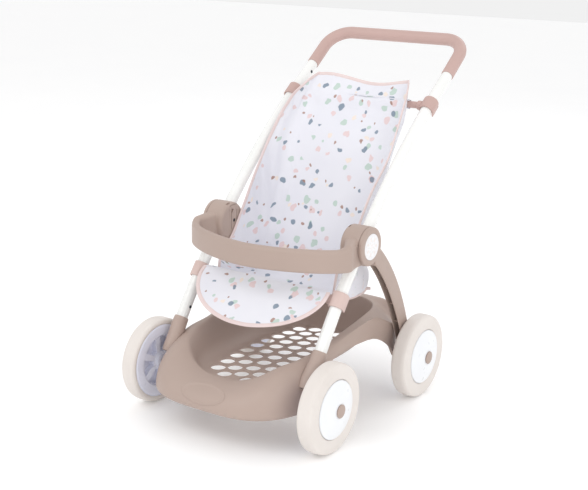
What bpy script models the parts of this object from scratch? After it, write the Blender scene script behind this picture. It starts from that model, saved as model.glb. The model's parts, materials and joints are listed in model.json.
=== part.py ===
"""Doll stroller: a tray on four wheels, two bent side tubes, a bumper bar and a fabric sling seat.

Metres, +Z up, +X is the stroller's left-hand side seen from behind, -Y is the front.
The origin lies on the floor under the middle of the stroller.
"""
import math

import bmesh
import bpy
from mathutils import Matrix, Vector

# ---------------------------------------------------------------- driving dimensions
GAP = 0.0003                   # clearance between touching pieces

WHEEL_RADIUS = 0.0685
WHEEL_WIDTH = 0.0258
WHEEL_X = 0.1654               # middle plane of a wheel
FRONT_AXLE_Y = -0.1868
WHEELBASE = 0.2707
REAR_AXLE_Y = FRONT_AXLE_Y + WHEELBASE
PIN_RADIUS = 0.003
PIN_INNER_X = 0.1240           # where a wheel pin ends, just inside the tray's wall

TUBE_X = 0.1320                # middle line of a side tube
TUBE_RADIUS = 0.0095
TUBE_WALL = 0.0010
TUBE_ARC_Y = 0.9691            # centre and radius of the arc that a side tube follows
TUBE_ARC_Z = -0.6007
TUBE_ARC_RADIUS = 1.3505
TUBE_FOOT_Z = 0.100
TUBE_TOP_Z = 0.5123

HANDLE_RADIUS = 0.0104
HANDLE_BEND = 0.0394
HANDLE_REACH = 0.0871          # from the tube end to the cross bar of the handle
HANDLE_SLOPE = math.radians(37.2)
SPIGOT_LENGTH = 0.026

BOSS_Z = 0.2800                # axis of the housings that join bumper, tube and rear leg
BARREL_RADIUS = 0.0305
BARREL_INNER_X = 0.1115
BARREL_OUTER_X = 0.1445
LEG_INNER_X = 0.1372
LEG_OUTER_X = 0.1508
LEG_WALL = 0.0018

BUMPER_BOTTOM_Z = 0.2520
BUMPER_TOP_Z = 0.2870
BUMPER_THICKNESS = 0.0150
BUMPER_DEPTH = 0.0740          # from the straight arms to the front of the band
BUMPER_HALF_WIDTH = 0.1495
BUMPER_ROUNDNESS = 1.6         # exponent of the plan curve, 2 is an ellipse
ARM_RISE = 0.0095              # how far the band's top climbs on its way to a housing

TRAY_HALF_WIDTH = 0.1240
TRAY_WALL = 0.0026
TRAY_MIDDLE_Y = FRONT_AXLE_Y + 0.105
TRAY_NOSE_Y = FRONT_AXLE_Y - 0.097
TRAY_TAIL_Y = REAR_AXLE_Y + 0.018
TRAY_FLOOR_HALF_WIDTH = 0.0700
TRAY_CREST_HALF_WIDTH = 0.1085   # half width of the rim, between floor and outer wall
TRAY_FENDER_WIDTH = 0.0160       # how far the front corners stand out beyond the sides
TRAY_HAUNCH_WIDTH = 0.0126       # and how far the rear corners do
NOSE_LIFT = 0.0060               # how much the nose's outer wall stands above the skirt line
LIP_TURN = 0.0065                # how far the nose turns in below it
TRAY_FLOOR_Z = 0.0795
TRAY_SKIRT_Z = 0.0550            # lower edge at the wheels
TRAY_ARCH_Z = 0.1175             # lower edge midway along a side
TRAY_BACK_ARCH_Z = 0.0840        # and in the middle of the back
TRAY_REAR_RIM_Z = 0.1500
TRAY_FRONT_RIM_Z = 0.0900
HOLE_RADIUS = 0.0120
HOLE_PITCH = 0.0265              # spacing across the floor
HOLE_ROW = 0.0304                # spacing along it

CROSSBAR_RADIUS = 0.0055
UPPER_BAR_Z = 0.4688
LOWER_BAR_Z = 0.2058
CLIP_WALL = 0.0026

CLOTH = 0.0030                 # thickness of the plain solids that stand for the fabric
SLING_HALF_WIDTH = 0.1090
FLAP_HALF_WIDTH = 0.1215
FLAP_LENGTH = 0.0920
FLAP_SLOPE = math.radians(36.5)

SIDES = (("left", 1), ("right", -1))
COLOURS = {
    "taupe_plastic": ((0.440, 0.361, 0.305), 0.50),
    "rose_plastic": ((0.560, 0.400, 0.365), 0.48),
    "pale_rose_plastic": ((0.665, 0.495, 0.460), 0.48),
    "white_paint": ((0.870, 0.875, 0.850), 0.25),
    "cream_tyre": ((0.830, 0.775, 0.730), 0.55),
    "white_plastic": ((0.860, 0.880, 0.910), 0.30),
    "print_disc": ((0.880, 0.830, 0.830), 0.35),
    "printed_cotton": ((0.830, 0.820, 0.880), 0.90),
    "steel": ((0.500, 0.500, 0.520), 0.30),
    "dark_steel": ((0.060, 0.070, 0.085), 0.45),
}


# ---------------------------------------------------------------- helpers
def clear_scene():
    for item in list(bpy.data.objects):
        bpy.data.objects.remove(item, do_unlink=True)


def material(name):
    found = bpy.data.materials.get(name)
    if found:
        return found
    colour, roughness = COLOURS[name]
    made = bpy.data.materials.new(name)
    made.use_nodes = True
    shader = made.node_tree.nodes["Principled BSDF"]
    shader.inputs["Base Color"].default_value = (*colour, 1.0)
    shader.inputs["Roughness"].default_value = roughness
    shader.inputs["Metallic"].default_value = 1.0 if "steel" in name else 0.0
    return made


def new_object(name, mesh, finish, location=(0, 0, 0)):
    item = bpy.data.objects.new(name, mesh)
    bpy.context.scene.collection.objects.link(item)
    mesh.materials.clear()
    mesh.materials.append(material(finish))
    item.location = location
    return item


def mesh_of(shape, name, sharp=math.radians(35)):
    bmesh.ops.remove_doubles(shape, verts=shape.verts, dist=1e-6)
    bmesh.ops.recalc_face_normals(shape, faces=shape.faces)
    mesh = bpy.data.meshes.new(name)
    shape.to_mesh(mesh)
    shape.free()
    mesh.shade_smooth()
    mesh.set_sharp_from_angle(angle=sharp)
    return mesh


def loft(loops, caps=True, wrap=False):
    """Skin equal-length closed loops of points; wrap joins the last loop to the first."""
    shape = bmesh.new()
    rings = [[shape.verts.new(point) for point in loop] for loop in loops]
    pairs = list(zip(rings, rings[1:]))
    if wrap:
        pairs.append((rings[-1], rings[0]))
    for low, high in pairs:
        for i in range(len(low)):
            j = (i + 1) % len(low)
            shape.faces.new((low[i], low[j], high[j], high[i]))
    if caps and not wrap:
        shape.faces.new(rings[0])
        shape.faces.new(rings[-1])
    return shape


def prism(outline, x_low, x_high):
    """Extrude a (y, z) outline along X."""
    return loft([[(x, y, z) for y, z in outline] for x in (x_low, x_high)])


def lathe(profile, segments, half_turn=False):
    """Turn a closed (x, radius) profile about the X axis; half_turn puts a flat at the bottom."""
    start = math.pi / segments if half_turn else 0.0
    loops = []
    for k in range(segments):
        angle = start - math.pi / 2 + 2 * math.pi * k / segments
        loops.append([(x, r * math.cos(angle), r * math.sin(angle)) for x, r in profile])
    return loft(loops, wrap=True)


def rod(x_low, x_high, radius, segments=12, chamfer=0.0):
    """A solid cylinder along X, with optional chamfered ends."""
    steps = [(x_low, radius - chamfer), (x_low + chamfer, radius),
             (x_high - chamfer, radius), (x_high, radius - chamfer)]
    if chamfer == 0.0:
        steps = [(x_low, radius), (x_high, radius)]
    return loft([circle_x(x, r, segments) for x, r in steps])


def circle_x(x, radius, segments):
    turn = [2 * math.pi * k / segments for k in range(segments)]
    return [(x, radius * math.cos(a), radius * math.sin(a)) for a in turn]


def sweep_rings(path, radii, segments):
    """Rings square to a path that lies in a plane with its sideways direction along X where it can."""
    rings = []
    for i, point in enumerate(path):
        before = Vector(path[max(i - 1, 0)])
        after = Vector(path[min(i + 1, len(path) - 1)])
        along = (after - before).normalized()
        across = plane_normal(path).cross(along).normalized()
        third = along.cross(across)
        ring = []
        for k in range(segments):
            a = 2 * math.pi * k / segments
            ring.append(Vector(point) + radii[i] * (math.cos(a) * across + math.sin(a) * third))
        rings.append(ring)
    return rings


def plane_normal(path):
    first, middle, last = Vector(path[0]), Vector(path[len(path) // 2]), Vector(path[-1])
    return (middle - first).cross(last - middle).normalized()


def smoothstep(low, high, value):
    t = min(max((value - low) / (high - low), 0.0), 1.0)
    return t * t * (3 - 2 * t)


def bezier(a, b, c, d, count):
    points = []
    for k in range(count):
        t = k / (count - 1)
        s = 1 - t
        weights = (s ** 3, 3 * s * s * t, 3 * s * t * t, t ** 3)
        points.append(tuple(sum(w * p[i] for w, p in zip(weights, (a, b, c, d))) for i in range(2)))
    return points


def add_boolean(item, helper, operation="DIFFERENCE"):
    """Cut item with the helper, or join them."""
    modifier = item.modifiers.new(operation.lower(), "BOOLEAN")
    modifier.operation = operation
    modifier.object = helper
    modifier.solver = "EXACT"


def cutter(name, shape):
    helper = new_object("cut_" + name, mesh_of(shape, "cut_" + name), "steel")
    helper.hide_render = True
    helper.display_type = "WIRE"
    return helper


def shifted(shape, offset):
    bmesh.ops.translate(shape, verts=shape.verts, vec=offset)
    return shape


def mirrored_x(shape, side):
    """Shapes are drawn for the +X side; side -1 mirrors them."""
    if side < 0:
        bmesh.ops.scale(shape, verts=shape.verts, vec=(-1, 1, 1))
    return shape


def tube_point(z, x=TUBE_X):
    return (x, TUBE_ARC_Y - math.sqrt(TUBE_ARC_RADIUS ** 2 - (z - TUBE_ARC_Z) ** 2), z)


def tube_path(z_low, z_high, count, x=TUBE_X):
    return [tube_point(z_low + (z_high - z_low) * k / (count - 1), x) for k in range(count)]


def tube_solid(z_low, z_high, radius, count, segments=16):
    return loft(sweep_rings(tube_path(z_low, z_high, count), [radius] * count, segments))


def tube_frame(z):
    """Matrix whose Z axis runs up the tube at height z and whose X axis is the world's."""
    low, high = Vector(tube_point(z - 0.001)), Vector(tube_point(z + 0.001))
    up = (high - low).normalized()
    across = Vector((1, 0, 0))
    forward = up.cross(across)
    turn = Matrix((across, forward, up)).transposed().to_4x4()
    return Matrix.Translation(Vector(tube_point(z))) @ turn


BOSS_Y = tube_point(BOSS_Z)[1]


# ---------------------------------------------------------------- side tubes and handle
def side_tubes():
    count, segments = 12, 12
    path = tube_path(TUBE_FOOT_Z, TUBE_TOP_Z, count)
    outer = sweep_rings(path, [TUBE_RADIUS] * count, segments)
    inner = sweep_rings(path, [TUBE_RADIUS - TUBE_WALL] * count, segments)
    for label, side in SIDES:
        shape = loft(outer + inner[::-1], wrap=True)
        mesh = mesh_of(mirrored_x(shape, side), "side_tube_" + label)
        new_object("side_tube_" + label, mesh, "white_paint")


def handle_path():
    """Centre line of the handle from the +X tube end round to the -X one."""
    ahead = Vector((0, math.cos(HANDLE_SLOPE), math.sin(HANDLE_SLOPE)))
    foot = Vector(tube_point(TUBE_TOP_Z))
    points = []
    straight = HANDLE_REACH - HANDLE_BEND
    for share in (0.0, 0.5):
        points.append(foot + ahead * straight * share)
    centre = foot + ahead * straight - Vector((HANDLE_BEND, 0, 0))
    for k in range(9):
        a = math.pi / 2 * k / 8
        points.append(centre + HANDLE_BEND * (math.cos(a) * Vector((1, 0, 0)) + math.sin(a) * ahead))
    half = [Vector(p) for p in points]
    other = [Vector((-p.x, p.y, p.z)) for p in reversed(half)]
    return half + other


def handle():
    """A moulded U whose two ends plug into the tubes."""
    segments = 12
    path = handle_path()
    rings = sweep_rings(path, [HANDLE_RADIUS] * len(path), segments)
    lead = tube_frame(TUBE_TOP_Z - SPIGOT_LENGTH / 3).to_3x3() @ Vector((0, 0, 1))
    share = (TUBE_RADIUS - TUBE_WALL - 3 * GAP) / HANDLE_RADIUS
    ends = []
    for ring, foot in ((rings[0], path[0]), (rings[-1], path[-1])):
        seat = [p + lead * ((foot - p).dot(lead) + GAP) for p in ring]
        collar = [foot + lead * GAP + (p - foot - lead * GAP) * share for p in seat]
        ends.append([[p - lead * SPIGOT_LENGTH for p in collar], collar, seat])
    loops = ends[0] + rings[1:-1] + ends[1][::-1]
    new_object("push_handle", mesh_of(loft(loops), "push_handle"), "rose_plastic")


def snap_pins():
    """Pins that lock the handle and the sockets to the tubes, on the tubes' inner faces."""
    for place, z in (("handle", TUBE_TOP_Z - 0.012), ("socket", 0.155)):
        for label, side in SIDES:
            x, y, z_mid = tube_point(z)
            shape = rod(x - TUBE_RADIUS - 0.0008, x - TUBE_RADIUS - GAP * 0.5, 0.0024, 10)
            shape = shifted(shape, (0, y, z_mid))
            name = place + "_pin_" + label
            new_object(name, mesh_of(mirrored_x(shape, side), name), "dark_steel")


# ---------------------------------------------------------------- bumper and housings
def bumper_plan(inset, count):
    """Half of the band's plan curve, from the middle of the front to the +X housing."""
    arm_y = BOSS_Y - 0.0525
    half_width, depth = BUMPER_HALF_WIDTH - inset, BUMPER_DEPTH - inset
    points = []
    for k in range(count):
        a = math.pi / 2 * k / (count - 1)
        x = half_width * math.sin(a) ** (2 / BUMPER_ROUNDNESS)
        y = arm_y - depth * math.cos(a) ** (2 / BUMPER_ROUNDNESS)
        points.append(Vector((x, y, 0)))
    narrow = BARREL_OUTER_X - 0.0002 - 1.45 * inset
    return points + [Vector((narrow, BOSS_Y - 0.0315, 0)), Vector((narrow, BOSS_Y - 0.006, 0))]


def band_section():
    """Rounded rectangle (share of thickness from outside, z)."""
    low, high, soft, tight = BUMPER_BOTTOM_Z, BUMPER_TOP_Z, 0.0060, 0.0030
    width = BUMPER_THICKNESS
    points = []
    corners = ((soft, high - soft, soft, 180, 90), (width - soft, high - soft, soft, 90, 0),
               (width - tight, low + tight, tight, 0, -90), (tight, low + tight, tight, -90, -180))
    for across, z, radius, start, end in corners:
        for k in range(3):
            a = math.radians(start + (end - start) * k / 2)
            points.append(((across + radius * math.cos(a)) / width, z + radius * math.sin(a)))
    return points


def climbed(z, y):
    """Height z of the band's section at y: its upper half climbs along the arms."""
    climb = ARM_RISE * smoothstep(BOSS_Y - 0.070, BOSS_Y - 0.038, y)
    return z + climb if z > (BUMPER_BOTTOM_Z + BUMPER_TOP_Z) / 2 else z


def bumper_band():
    outside = bumper_plan(0.0, 13)
    inside = bumper_plan(BUMPER_THICKNESS, 13)
    section = band_section()
    half = []
    for out, ins in zip(outside, inside):
        half.append([out.lerp(ins, share) + Vector((0, 0, climbed(z, out.y))) for share, z in section])
    other = [[Vector((-p.x, p.y, p.z)) for p in ring] for ring in half[:0:-1]]
    return loft(other + half)


def barrel():
    """Housing at the end of the band: a drum along X with a rounded inner end."""
    soft = 0.0060
    rings = [(BARREL_OUTER_X, BARREL_RADIUS)]
    for k in range(4):
        a = math.pi / 2 * k / 3
        rings.append((BARREL_INNER_X + soft * (1 - math.sin(a)), BARREL_RADIUS - soft * (1 - math.cos(a))))
    shape = loft([circle_x(x, r, 24) for x, r in rings])
    return shifted(shape, (0, BOSS_Y, BOSS_Z))


COVER_HALF_WIDTH = 0.0130
COVER_DEPTH = 0.0040
COVER_LOW = -0.0285
COVER_HIGH = 0.0262


def cover_outline(grow=0.0):
    """(y, z) outline of the inner cover, about the boss axis."""
    half = COVER_HALF_WIDTH + grow
    low, high = COVER_LOW - grow, COVER_HIGH + grow
    middle = 0.0050
    return [(middle - half, low + 0.006), (middle - half + 0.004, low + 0.001), (middle, low),
            (middle + half - 0.004, low + 0.001), (middle + half, low + 0.006),
            (middle + half, high - 0.006), (middle + half - 0.004, high - 0.001), (middle, high),
            (middle - half + 0.004, high - 0.001), (middle - half, high - 0.006)]


def bumper():
    band = bumper_band()
    item = new_object("bumper_bar", mesh_of(band, "bumper_bar"), "taupe_plastic")
    for label, side in SIDES:
        drum = cutter("barrel_" + label, mirrored_x(barrel(), side))
        add_boolean(item, drum, "UNION")
    for label, side in SIDES:
        shape = tube_solid(BOSS_Z - 0.06, BOSS_Z + 0.06, TUBE_RADIUS + GAP, 5)
        add_boolean(item, cutter("barrel_bore_" + label, mirrored_x(shape, side)))
        pocket = prism(cover_outline(0.0009), BARREL_INNER_X - 0.002, BARREL_INNER_X + COVER_DEPTH)
        pocket = shifted(pocket, (0, BOSS_Y, BOSS_Z))
        add_boolean(item, cutter("cover_pocket_" + label, mirrored_x(pocket, side)))


def housing_covers():
    """Inner cover of each housing, held by one screw."""
    for label, side in SIDES:
        low = BARREL_INNER_X + 0.0004
        plate = prism(cover_outline(), low, BARREL_INNER_X + COVER_DEPTH - GAP)
        plate = shifted(plate, (0, BOSS_Y, BOSS_Z))
        name = "housing_cover_" + label
        item = new_object(name, mesh_of(mirrored_x(plate, side), name), "taupe_plastic")
        sink = rod(low - 0.001, low + 0.0016, 0.0030, 12)
        sink = shifted(sink, (0, BOSS_Y + 0.005, BOSS_Z))
        add_boolean(item, cutter("screw_sink_" + label, mirrored_x(sink, side)))
        head = rod(low + 0.0004, low + 0.0016 - GAP, 0.0026, 12)
        head = shifted(head, (0, BOSS_Y + 0.005, BOSS_Z))
        name = "housing_screw_" + label
        new_object(name, mesh_of(mirrored_x(head, side), name), "dark_steel")


# ---------------------------------------------------------------- rear legs
DISC_RADIUS = 0.0300
MEDALLION_RADIUS = 0.0204


def relative(points):
    """Points given from the front axle, as (y, z) in the stroller's frame."""
    return [(y + FRONT_AXLE_Y, z) for y, z in points]


def leg_curves():
    back = relative(bezier((0.150, 0.280), (0.208, 0.235), (0.248, 0.170), (0.2755, 0.078), 12))
    front = relative(bezier((0.145, 0.250), (0.185, 0.215), (0.220, 0.160), (0.2535, 0.080), 12))
    return back, front


def leg_outline():
    back, front = leg_curves()
    heel = []
    for k in range(1, 8):
        a = math.radians(22 - 202 * k / 8)
        heel.append((REAR_AXLE_Y + 0.0110 * math.cos(a), WHEEL_RADIUS + 0.0110 * math.sin(a)))
    return back + heel + front[::-1]


def channel_outline():
    """The open side of the leg's channel, inside its rear web."""
    back, front = leg_curves()
    web = 0.0030
    inset = [(y - web, z - web * 0.5) for y, z in back[1:-1]]
    ahead = [(y - 0.010, z - 0.004) for y, z in front[1:-1]]
    return inset + ahead[::-1]


def rear_legs():
    for label, side in SIDES:
        name = "rear_leg_" + label
        shape = prism(leg_outline(), LEG_INNER_X, LEG_OUTER_X)
        item = new_object(name, mesh_of(mirrored_x(shape, side), name), "taupe_plastic")
        clear = rod(LEG_INNER_X - 0.001, BARREL_OUTER_X + GAP, BARREL_RADIUS + 0.0006, 32)
        clear = shifted(clear, (0, BOSS_Y, BOSS_Z))
        add_boolean(item, cutter("leg_clear_" + label, mirrored_x(clear, side)))
        disc = loft([circle_x(x, r, 32) for x, r in (
            (BARREL_OUTER_X + GAP, DISC_RADIUS), (LEG_OUTER_X - 0.0020, DISC_RADIUS),
            (LEG_OUTER_X - 0.0003, DISC_RADIUS - 0.0014), (LEG_OUTER_X + 0.0004, DISC_RADIUS - 0.0040))])
        disc = shifted(disc, (0, BOSS_Y, BOSS_Z))
        add_boolean(item, cutter("leg_disc_" + label, mirrored_x(disc, side)), "UNION")
        seat = rod(LEG_OUTER_X - 0.0012, LEG_OUTER_X + 0.002, MEDALLION_RADIUS + GAP, 28)
        seat = shifted(seat, (0, BOSS_Y, BOSS_Z))
        add_boolean(item, cutter("disc_seat_" + label, mirrored_x(seat, side)))
        channel = prism(channel_outline(), LEG_INNER_X + LEG_WALL, LEG_OUTER_X - LEG_WALL)
        add_boolean(item, cutter("leg_channel_" + label, mirrored_x(channel, side)))
        bore = rod(LEG_INNER_X - 0.002, LEG_OUTER_X + 0.002, PIN_RADIUS + GAP, 12)
        bore = shifted(bore, (0, REAR_AXLE_Y, WHEEL_RADIUS))
        add_boolean(item, cutter("leg_bore_" + label, mirrored_x(bore, side)))


def medallions():
    for label, side in SIDES:
        name = "boss_disc_" + label
        low = LEG_OUTER_X - 0.0012 + GAP
        rings = ((low, MEDALLION_RADIUS), (low + 0.0012, MEDALLION_RADIUS), (low + 0.0018, MEDALLION_RADIUS - 0.0012))
        shape = shifted(loft([circle_x(x, r, 28) for x, r in rings]), (0, BOSS_Y, BOSS_Z))
        new_object(name, mesh_of(mirrored_x(shape, side), name), "print_disc")


# ---------------------------------------------------------------- front sockets
def socket_shape(grow=0.0):
    """A sleeve round the tube foot that swells downwards and ends blunt inside the tray's corner."""
    rows = ((0.1390, 0.0000, 0.0117, 0.0117), (0.1270, 0.0000, 0.0119, 0.0119),
            (0.1150, -0.0010, 0.0128, 0.0128), (0.1030, -0.0024, 0.0140, 0.0144),
            (0.0945, -0.0030, 0.0146, 0.0154), (0.0895, -0.0030, 0.0138, 0.0146))
    loops = []
    for z, inward, half_x, half_y in rows:
        frame = tube_frame(z)
        ring = []
        for k in range(20):
            a = 2 * math.pi * k / 20
            ring.append(frame @ Vector((inward + (half_x + grow) * math.cos(a), (half_y + grow) * math.sin(a), 0)))
        loops.append(ring)
    if grow > 0.0:
        loops[0] = [p + Vector((0, 0.7, 0.7)) * grow for p in loops[0]]
        loops[-1] = [p - Vector((0, 0, 1)) * grow for p in loops[-1]]
    return loft(loops)


def front_sockets():
    for label, side in SIDES:
        name = "front_socket_" + label
        item = new_object(name, mesh_of(mirrored_x(socket_shape(), side), name), "taupe_plastic")
        bore = tube_solid(TUBE_FOOT_Z - GAP, 0.150, TUBE_RADIUS + GAP, 5)
        add_boolean(item, cutter("socket_bore_" + label, mirrored_x(bore, side)))


# ---------------------------------------------------------------- base tray
TRAY_POINTS = 44


def fender(y):
    """Half width gained at y: all four corners reach out towards the wheels."""
    front = TRAY_FENDER_WIDTH * smoothstep(FRONT_AXLE_Y + 0.085, FRONT_AXLE_Y + 0.015, y)
    return front + TRAY_HAUNCH_WIDTH * smoothstep(FRONT_AXLE_Y + 0.185, FRONT_AXLE_Y + 0.245, y)


def plan_loop(half_width, front_y, rear_y, front_power, rear_power, height, widened=False):
    """A closed plan curve about the tray's middle; height gives z from a point."""
    loop = []
    for k in range(TRAY_POINTS):
        a = 2 * math.pi * k / TRAY_POINTS
        s, c = math.sin(a), math.cos(a)
        power = front_power if c > 0 else rear_power
        reach = TRAY_MIDDLE_Y - front_y if c > 0 else rear_y - TRAY_MIDDLE_Y
        y = TRAY_MIDDLE_Y - math.copysign(reach * abs(c) ** (2 / power), c)
        width = half_width + fender(y) if widened else half_width
        x = width * math.copysign(abs(s) ** (2 / power), s)
        loop.append(Vector((x, y, height(Vector((x, y, 0))))))
    return loop


def rim_height(point):
    """The rim is level at the back, falls evenly along the sides and dips across the nose."""
    back = FRONT_AXLE_Y + 0.205
    sides = 0.5 * max(back - point.y, 0.0) / 0.215
    middle = max(1 - (point.x / 0.090) ** 2, 0.0)
    dip = 0.45 * middle * smoothstep(FRONT_AXLE_Y + 0.020, FRONT_AXLE_Y - 0.035, point.y)
    return TRAY_REAR_RIM_Z - (TRAY_REAR_RIM_Z - TRAY_FRONT_RIM_Z) * min(sides + dip, 1.0)


def skirt_height(point):
    """Lower edge of the walls: an arch between the axles and a flatter one across the back."""
    middle = FRONT_AXLE_Y + 0.137
    front = point.y < middle
    reach = min(abs(point.y - middle) / (0.142 if front else 0.121), 1.0)
    side = TRAY_ARCH_Z - (TRAY_ARCH_Z - TRAY_SKIRT_Z) * reach ** (3.8 if front else 3.2)
    across = smoothstep(0.117, 0.090, abs(point.x)) * smoothstep(middle, middle + 0.060, point.y)
    return side + max(TRAY_BACK_ARCH_Z - side, 0.0) * across


def lip(point):
    """The last bend of the wall below the skirt line; it turns inward under the nose."""
    nose = smoothstep(FRONT_AXLE_Y + 0.060, FRONT_AXLE_Y, point.y)
    inward = Vector((-point.x, TRAY_MIDDLE_Y - point.y, 0)).normalized()
    return point + inward * LIP_TURN * nose - Vector((0, 0, NOSE_LIFT * nose + 0.0010))


def shoulder_height(point):
    """Upper edge of the upright rear walls: it falls along the sides and stays high across the back."""
    along = 0.60 * max(point.y - FRONT_AXLE_Y - 0.200, 0.0)
    return TRAY_REAR_RIM_Z - 0.0030 - along * smoothstep(0.083, TRAY_HALF_WIDTH, abs(point.x)) ** 2


def outer_share(t, crest, skirt):
    """(outward, downward) share at t of the way over the outside, from the rim to the lower edge."""
    front = (math.sin(math.pi / 2 * t), 1 - math.cos(math.pi / 2 * t))
    drop = (crest.z - shoulder_height(skirt)) / (crest.z - skirt.z)
    if t < 0.5:
        rear = (1 - (1 - 2 * t) ** 1.5, drop * 2 * t)
    else:
        rear = (1.0, drop + (1 - drop) * (2 * t - 1))
    blend = smoothstep(FRONT_AXLE_Y + 0.080, FRONT_AXLE_Y + 0.170, skirt.y)
    return (front[0] + (rear[0] - front[0]) * blend, front[1] + (rear[1] - front[1]) * blend)


def between(inner, outer, out, up):
    return Vector((*inner.xy.lerp(outer.xy, out), inner.z + (outer.z - inner.z) * up))


def tray_loops():
    front, rear = FRONT_AXLE_Y - 0.027, FRONT_AXLE_Y + 0.262
    floor = plan_loop(TRAY_FLOOR_HALF_WIDTH, front, rear, 2.6, 3.2, lambda point: TRAY_FLOOR_Z)
    crest = plan_loop(TRAY_CREST_HALF_WIDTH, front - 0.015, rear + 0.005, 3.2, 4.5, rim_height)
    skirt = plan_loop(TRAY_HALF_WIDTH, TRAY_NOSE_Y, TRAY_TAIL_Y, 3.3, 7.0, skirt_height, widened=True)
    for point in skirt:
        point.z += NOSE_LIFT * smoothstep(FRONT_AXLE_Y + 0.060, FRONT_AXLE_Y, point.y)
    wall = ((0.0, 0.0), (0.30, 0.07), (0.52, 0.28), (0.68, 0.60), (0.84, 0.88), (1.0, 1.0))
    steep = ((0.0, 0.0), (0.34, 0.07), (0.62, 0.24), (0.84, 0.56), (0.95, 0.88), (1.0, 1.0))
    loops = []
    for (out, up), (rear_out, rear_up) in zip(wall, steep):
        ring = []
        for f, c in zip(floor, crest):
            blend = smoothstep(FRONT_AXLE_Y + 0.050, FRONT_AXLE_Y + 0.150, c.y)
            ring.append(between(f, c, out + (rear_out - out) * blend, up + (rear_up - up) * blend))
        loops.append(ring)
    steps = 5
    for k in range(1, steps + 1):
        loops.append([between(c, s, *outer_share(k / steps, c, s)) for c, s in zip(crest, skirt)])
    loops.append([lip(point) for point in skirt])
    return loops


def floor_holes():
    """Cylinders in staggered rows; the outer columns draw in towards both ends of the oval floor."""
    shape = bmesh.new()
    for i in range(-2, 3):
        for j in range(10):
            row = j - 0.5 * (i % 2)
            y = 0.0100 + HOLE_ROW * row - 0.00028 * row * row
            x = i * HOLE_PITCH * (1.04 - 0.15 * ((y - 0.120) / 0.100) ** 2)
            if y < 0.249:
                place = Matrix.Translation((x, FRONT_AXLE_Y + y, TRAY_FLOOR_Z))
                bmesh.ops.create_cone(shape, cap_ends=True, segments=8, radius1=HOLE_RADIUS,
                                      radius2=HOLE_RADIUS, depth=0.030, matrix=place)
    return shape


def base_tray():
    shape = loft(tray_loops(), caps=False)
    shape.verts.ensure_lookup_table()
    shape.faces.new([shape.verts[k] for k in range(TRAY_POINTS)])
    mesh = mesh_of(shape, "base_tray")
    item = new_object("base_tray", mesh, "taupe_plastic")
    if item.data.polygons[-1].normal.z < 0:
        mesh.flip_normals()
    shell = item.modifiers.new("shell", "SOLIDIFY")
    shell.thickness = TRAY_WALL
    shell.offset = -1.0
    shell.use_even_offset = False
    add_boolean(item, cutter("floor_holes", floor_holes()))
    for label, side in SIDES:
        notch = cutter("socket_notch_" + label, mirrored_x(socket_shape(grow=0.0004), side))
        add_boolean(item, notch)
    for place, y in (("front", FRONT_AXLE_Y), ("rear", REAR_AXLE_Y)):
        pass_through = shifted(rod(-0.150, 0.150, PIN_RADIUS + 0.0003, 12), (0, y, WHEEL_RADIUS))
        add_boolean(item, cutter("axle_way_" + place, pass_through))


# ---------------------------------------------------------------- crossbars and clips
def crossbars():
    for place, z in (("upper", UPPER_BAR_Z), ("lower", LOWER_BAR_Z)):
        x, y, height = tube_point(z)
        half = TUBE_X - TUBE_RADIUS - 0.0060
        shape = shifted(rod(-half, half, CROSSBAR_RADIUS, 12), (0, y, height))
        name = place + "_crossbar"
        new_object(name, mesh_of(shape, name), "rose_plastic")


def clip_shape(length):
    """An open ring round the tube, with a cup for the crossbar's end on its inner side."""
    inner, outer = TUBE_RADIUS + 2 * GAP, TUBE_RADIUS + 2 * GAP + CLIP_WALL
    start, turn, steps = math.radians(122), math.radians(290), 16
    loops = []
    for k in range(steps + 1):
        a = start + turn * k / steps
        c, s = math.cos(a), math.sin(a)
        loops.append([(inner * c, inner * s, -length / 2), (outer * c, outer * s, -length / 2),
                      (outer * c, outer * s, length / 2), (inner * c, inner * s, length / 2)])
    return loft(loops)


def clips():
    for place, z, length, finish in (("upper", UPPER_BAR_Z, 0.023, "rose_plastic"),
                                     ("lower", LOWER_BAR_Z, 0.0245, "pale_rose_plastic")):
        for label, side in SIDES:
            shape = clip_shape(length)
            bmesh.ops.transform(shape, matrix=tube_frame(z), verts=shape.verts)
            name = place + "_clip_" + label
            item = new_object(name, mesh_of(mirrored_x(shape, side), name), finish)
            x, y, height = tube_point(z)
            cup = rod(TUBE_X - TUBE_RADIUS - 0.0092, TUBE_X - TUBE_RADIUS - 0.0010, CROSSBAR_RADIUS + 0.0022, 16)
            cup = shifted(cup, (0, y, height))
            add_boolean(item, cutter("cup_" + name, mirrored_x(cup, side)), "UNION")
            bore = rod(TUBE_X - TUBE_RADIUS - 0.0120, TUBE_X - TUBE_RADIUS - 0.0055, CROSSBAR_RADIUS + GAP, 12)
            bore = shifted(bore, (0, y, height))
            add_boolean(item, cutter("cup_bore_" + name, mirrored_x(bore, side)))


# ---------------------------------------------------------------- fabric solids
def sling_back():
    """Rear side of the bucket from the header down to the seat corner, then forward under the seat."""
    return relative([(0.3560, 0.5010), (0.3480, 0.4870), (0.3425, 0.4690), (0.3270, 0.4490),
                     (0.2900, 0.3950), (0.2610, 0.3330), (0.2400, 0.2800), (0.2060, 0.1930),
                     (0.1500, 0.1870), (0.0870, 0.1960)])


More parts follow.
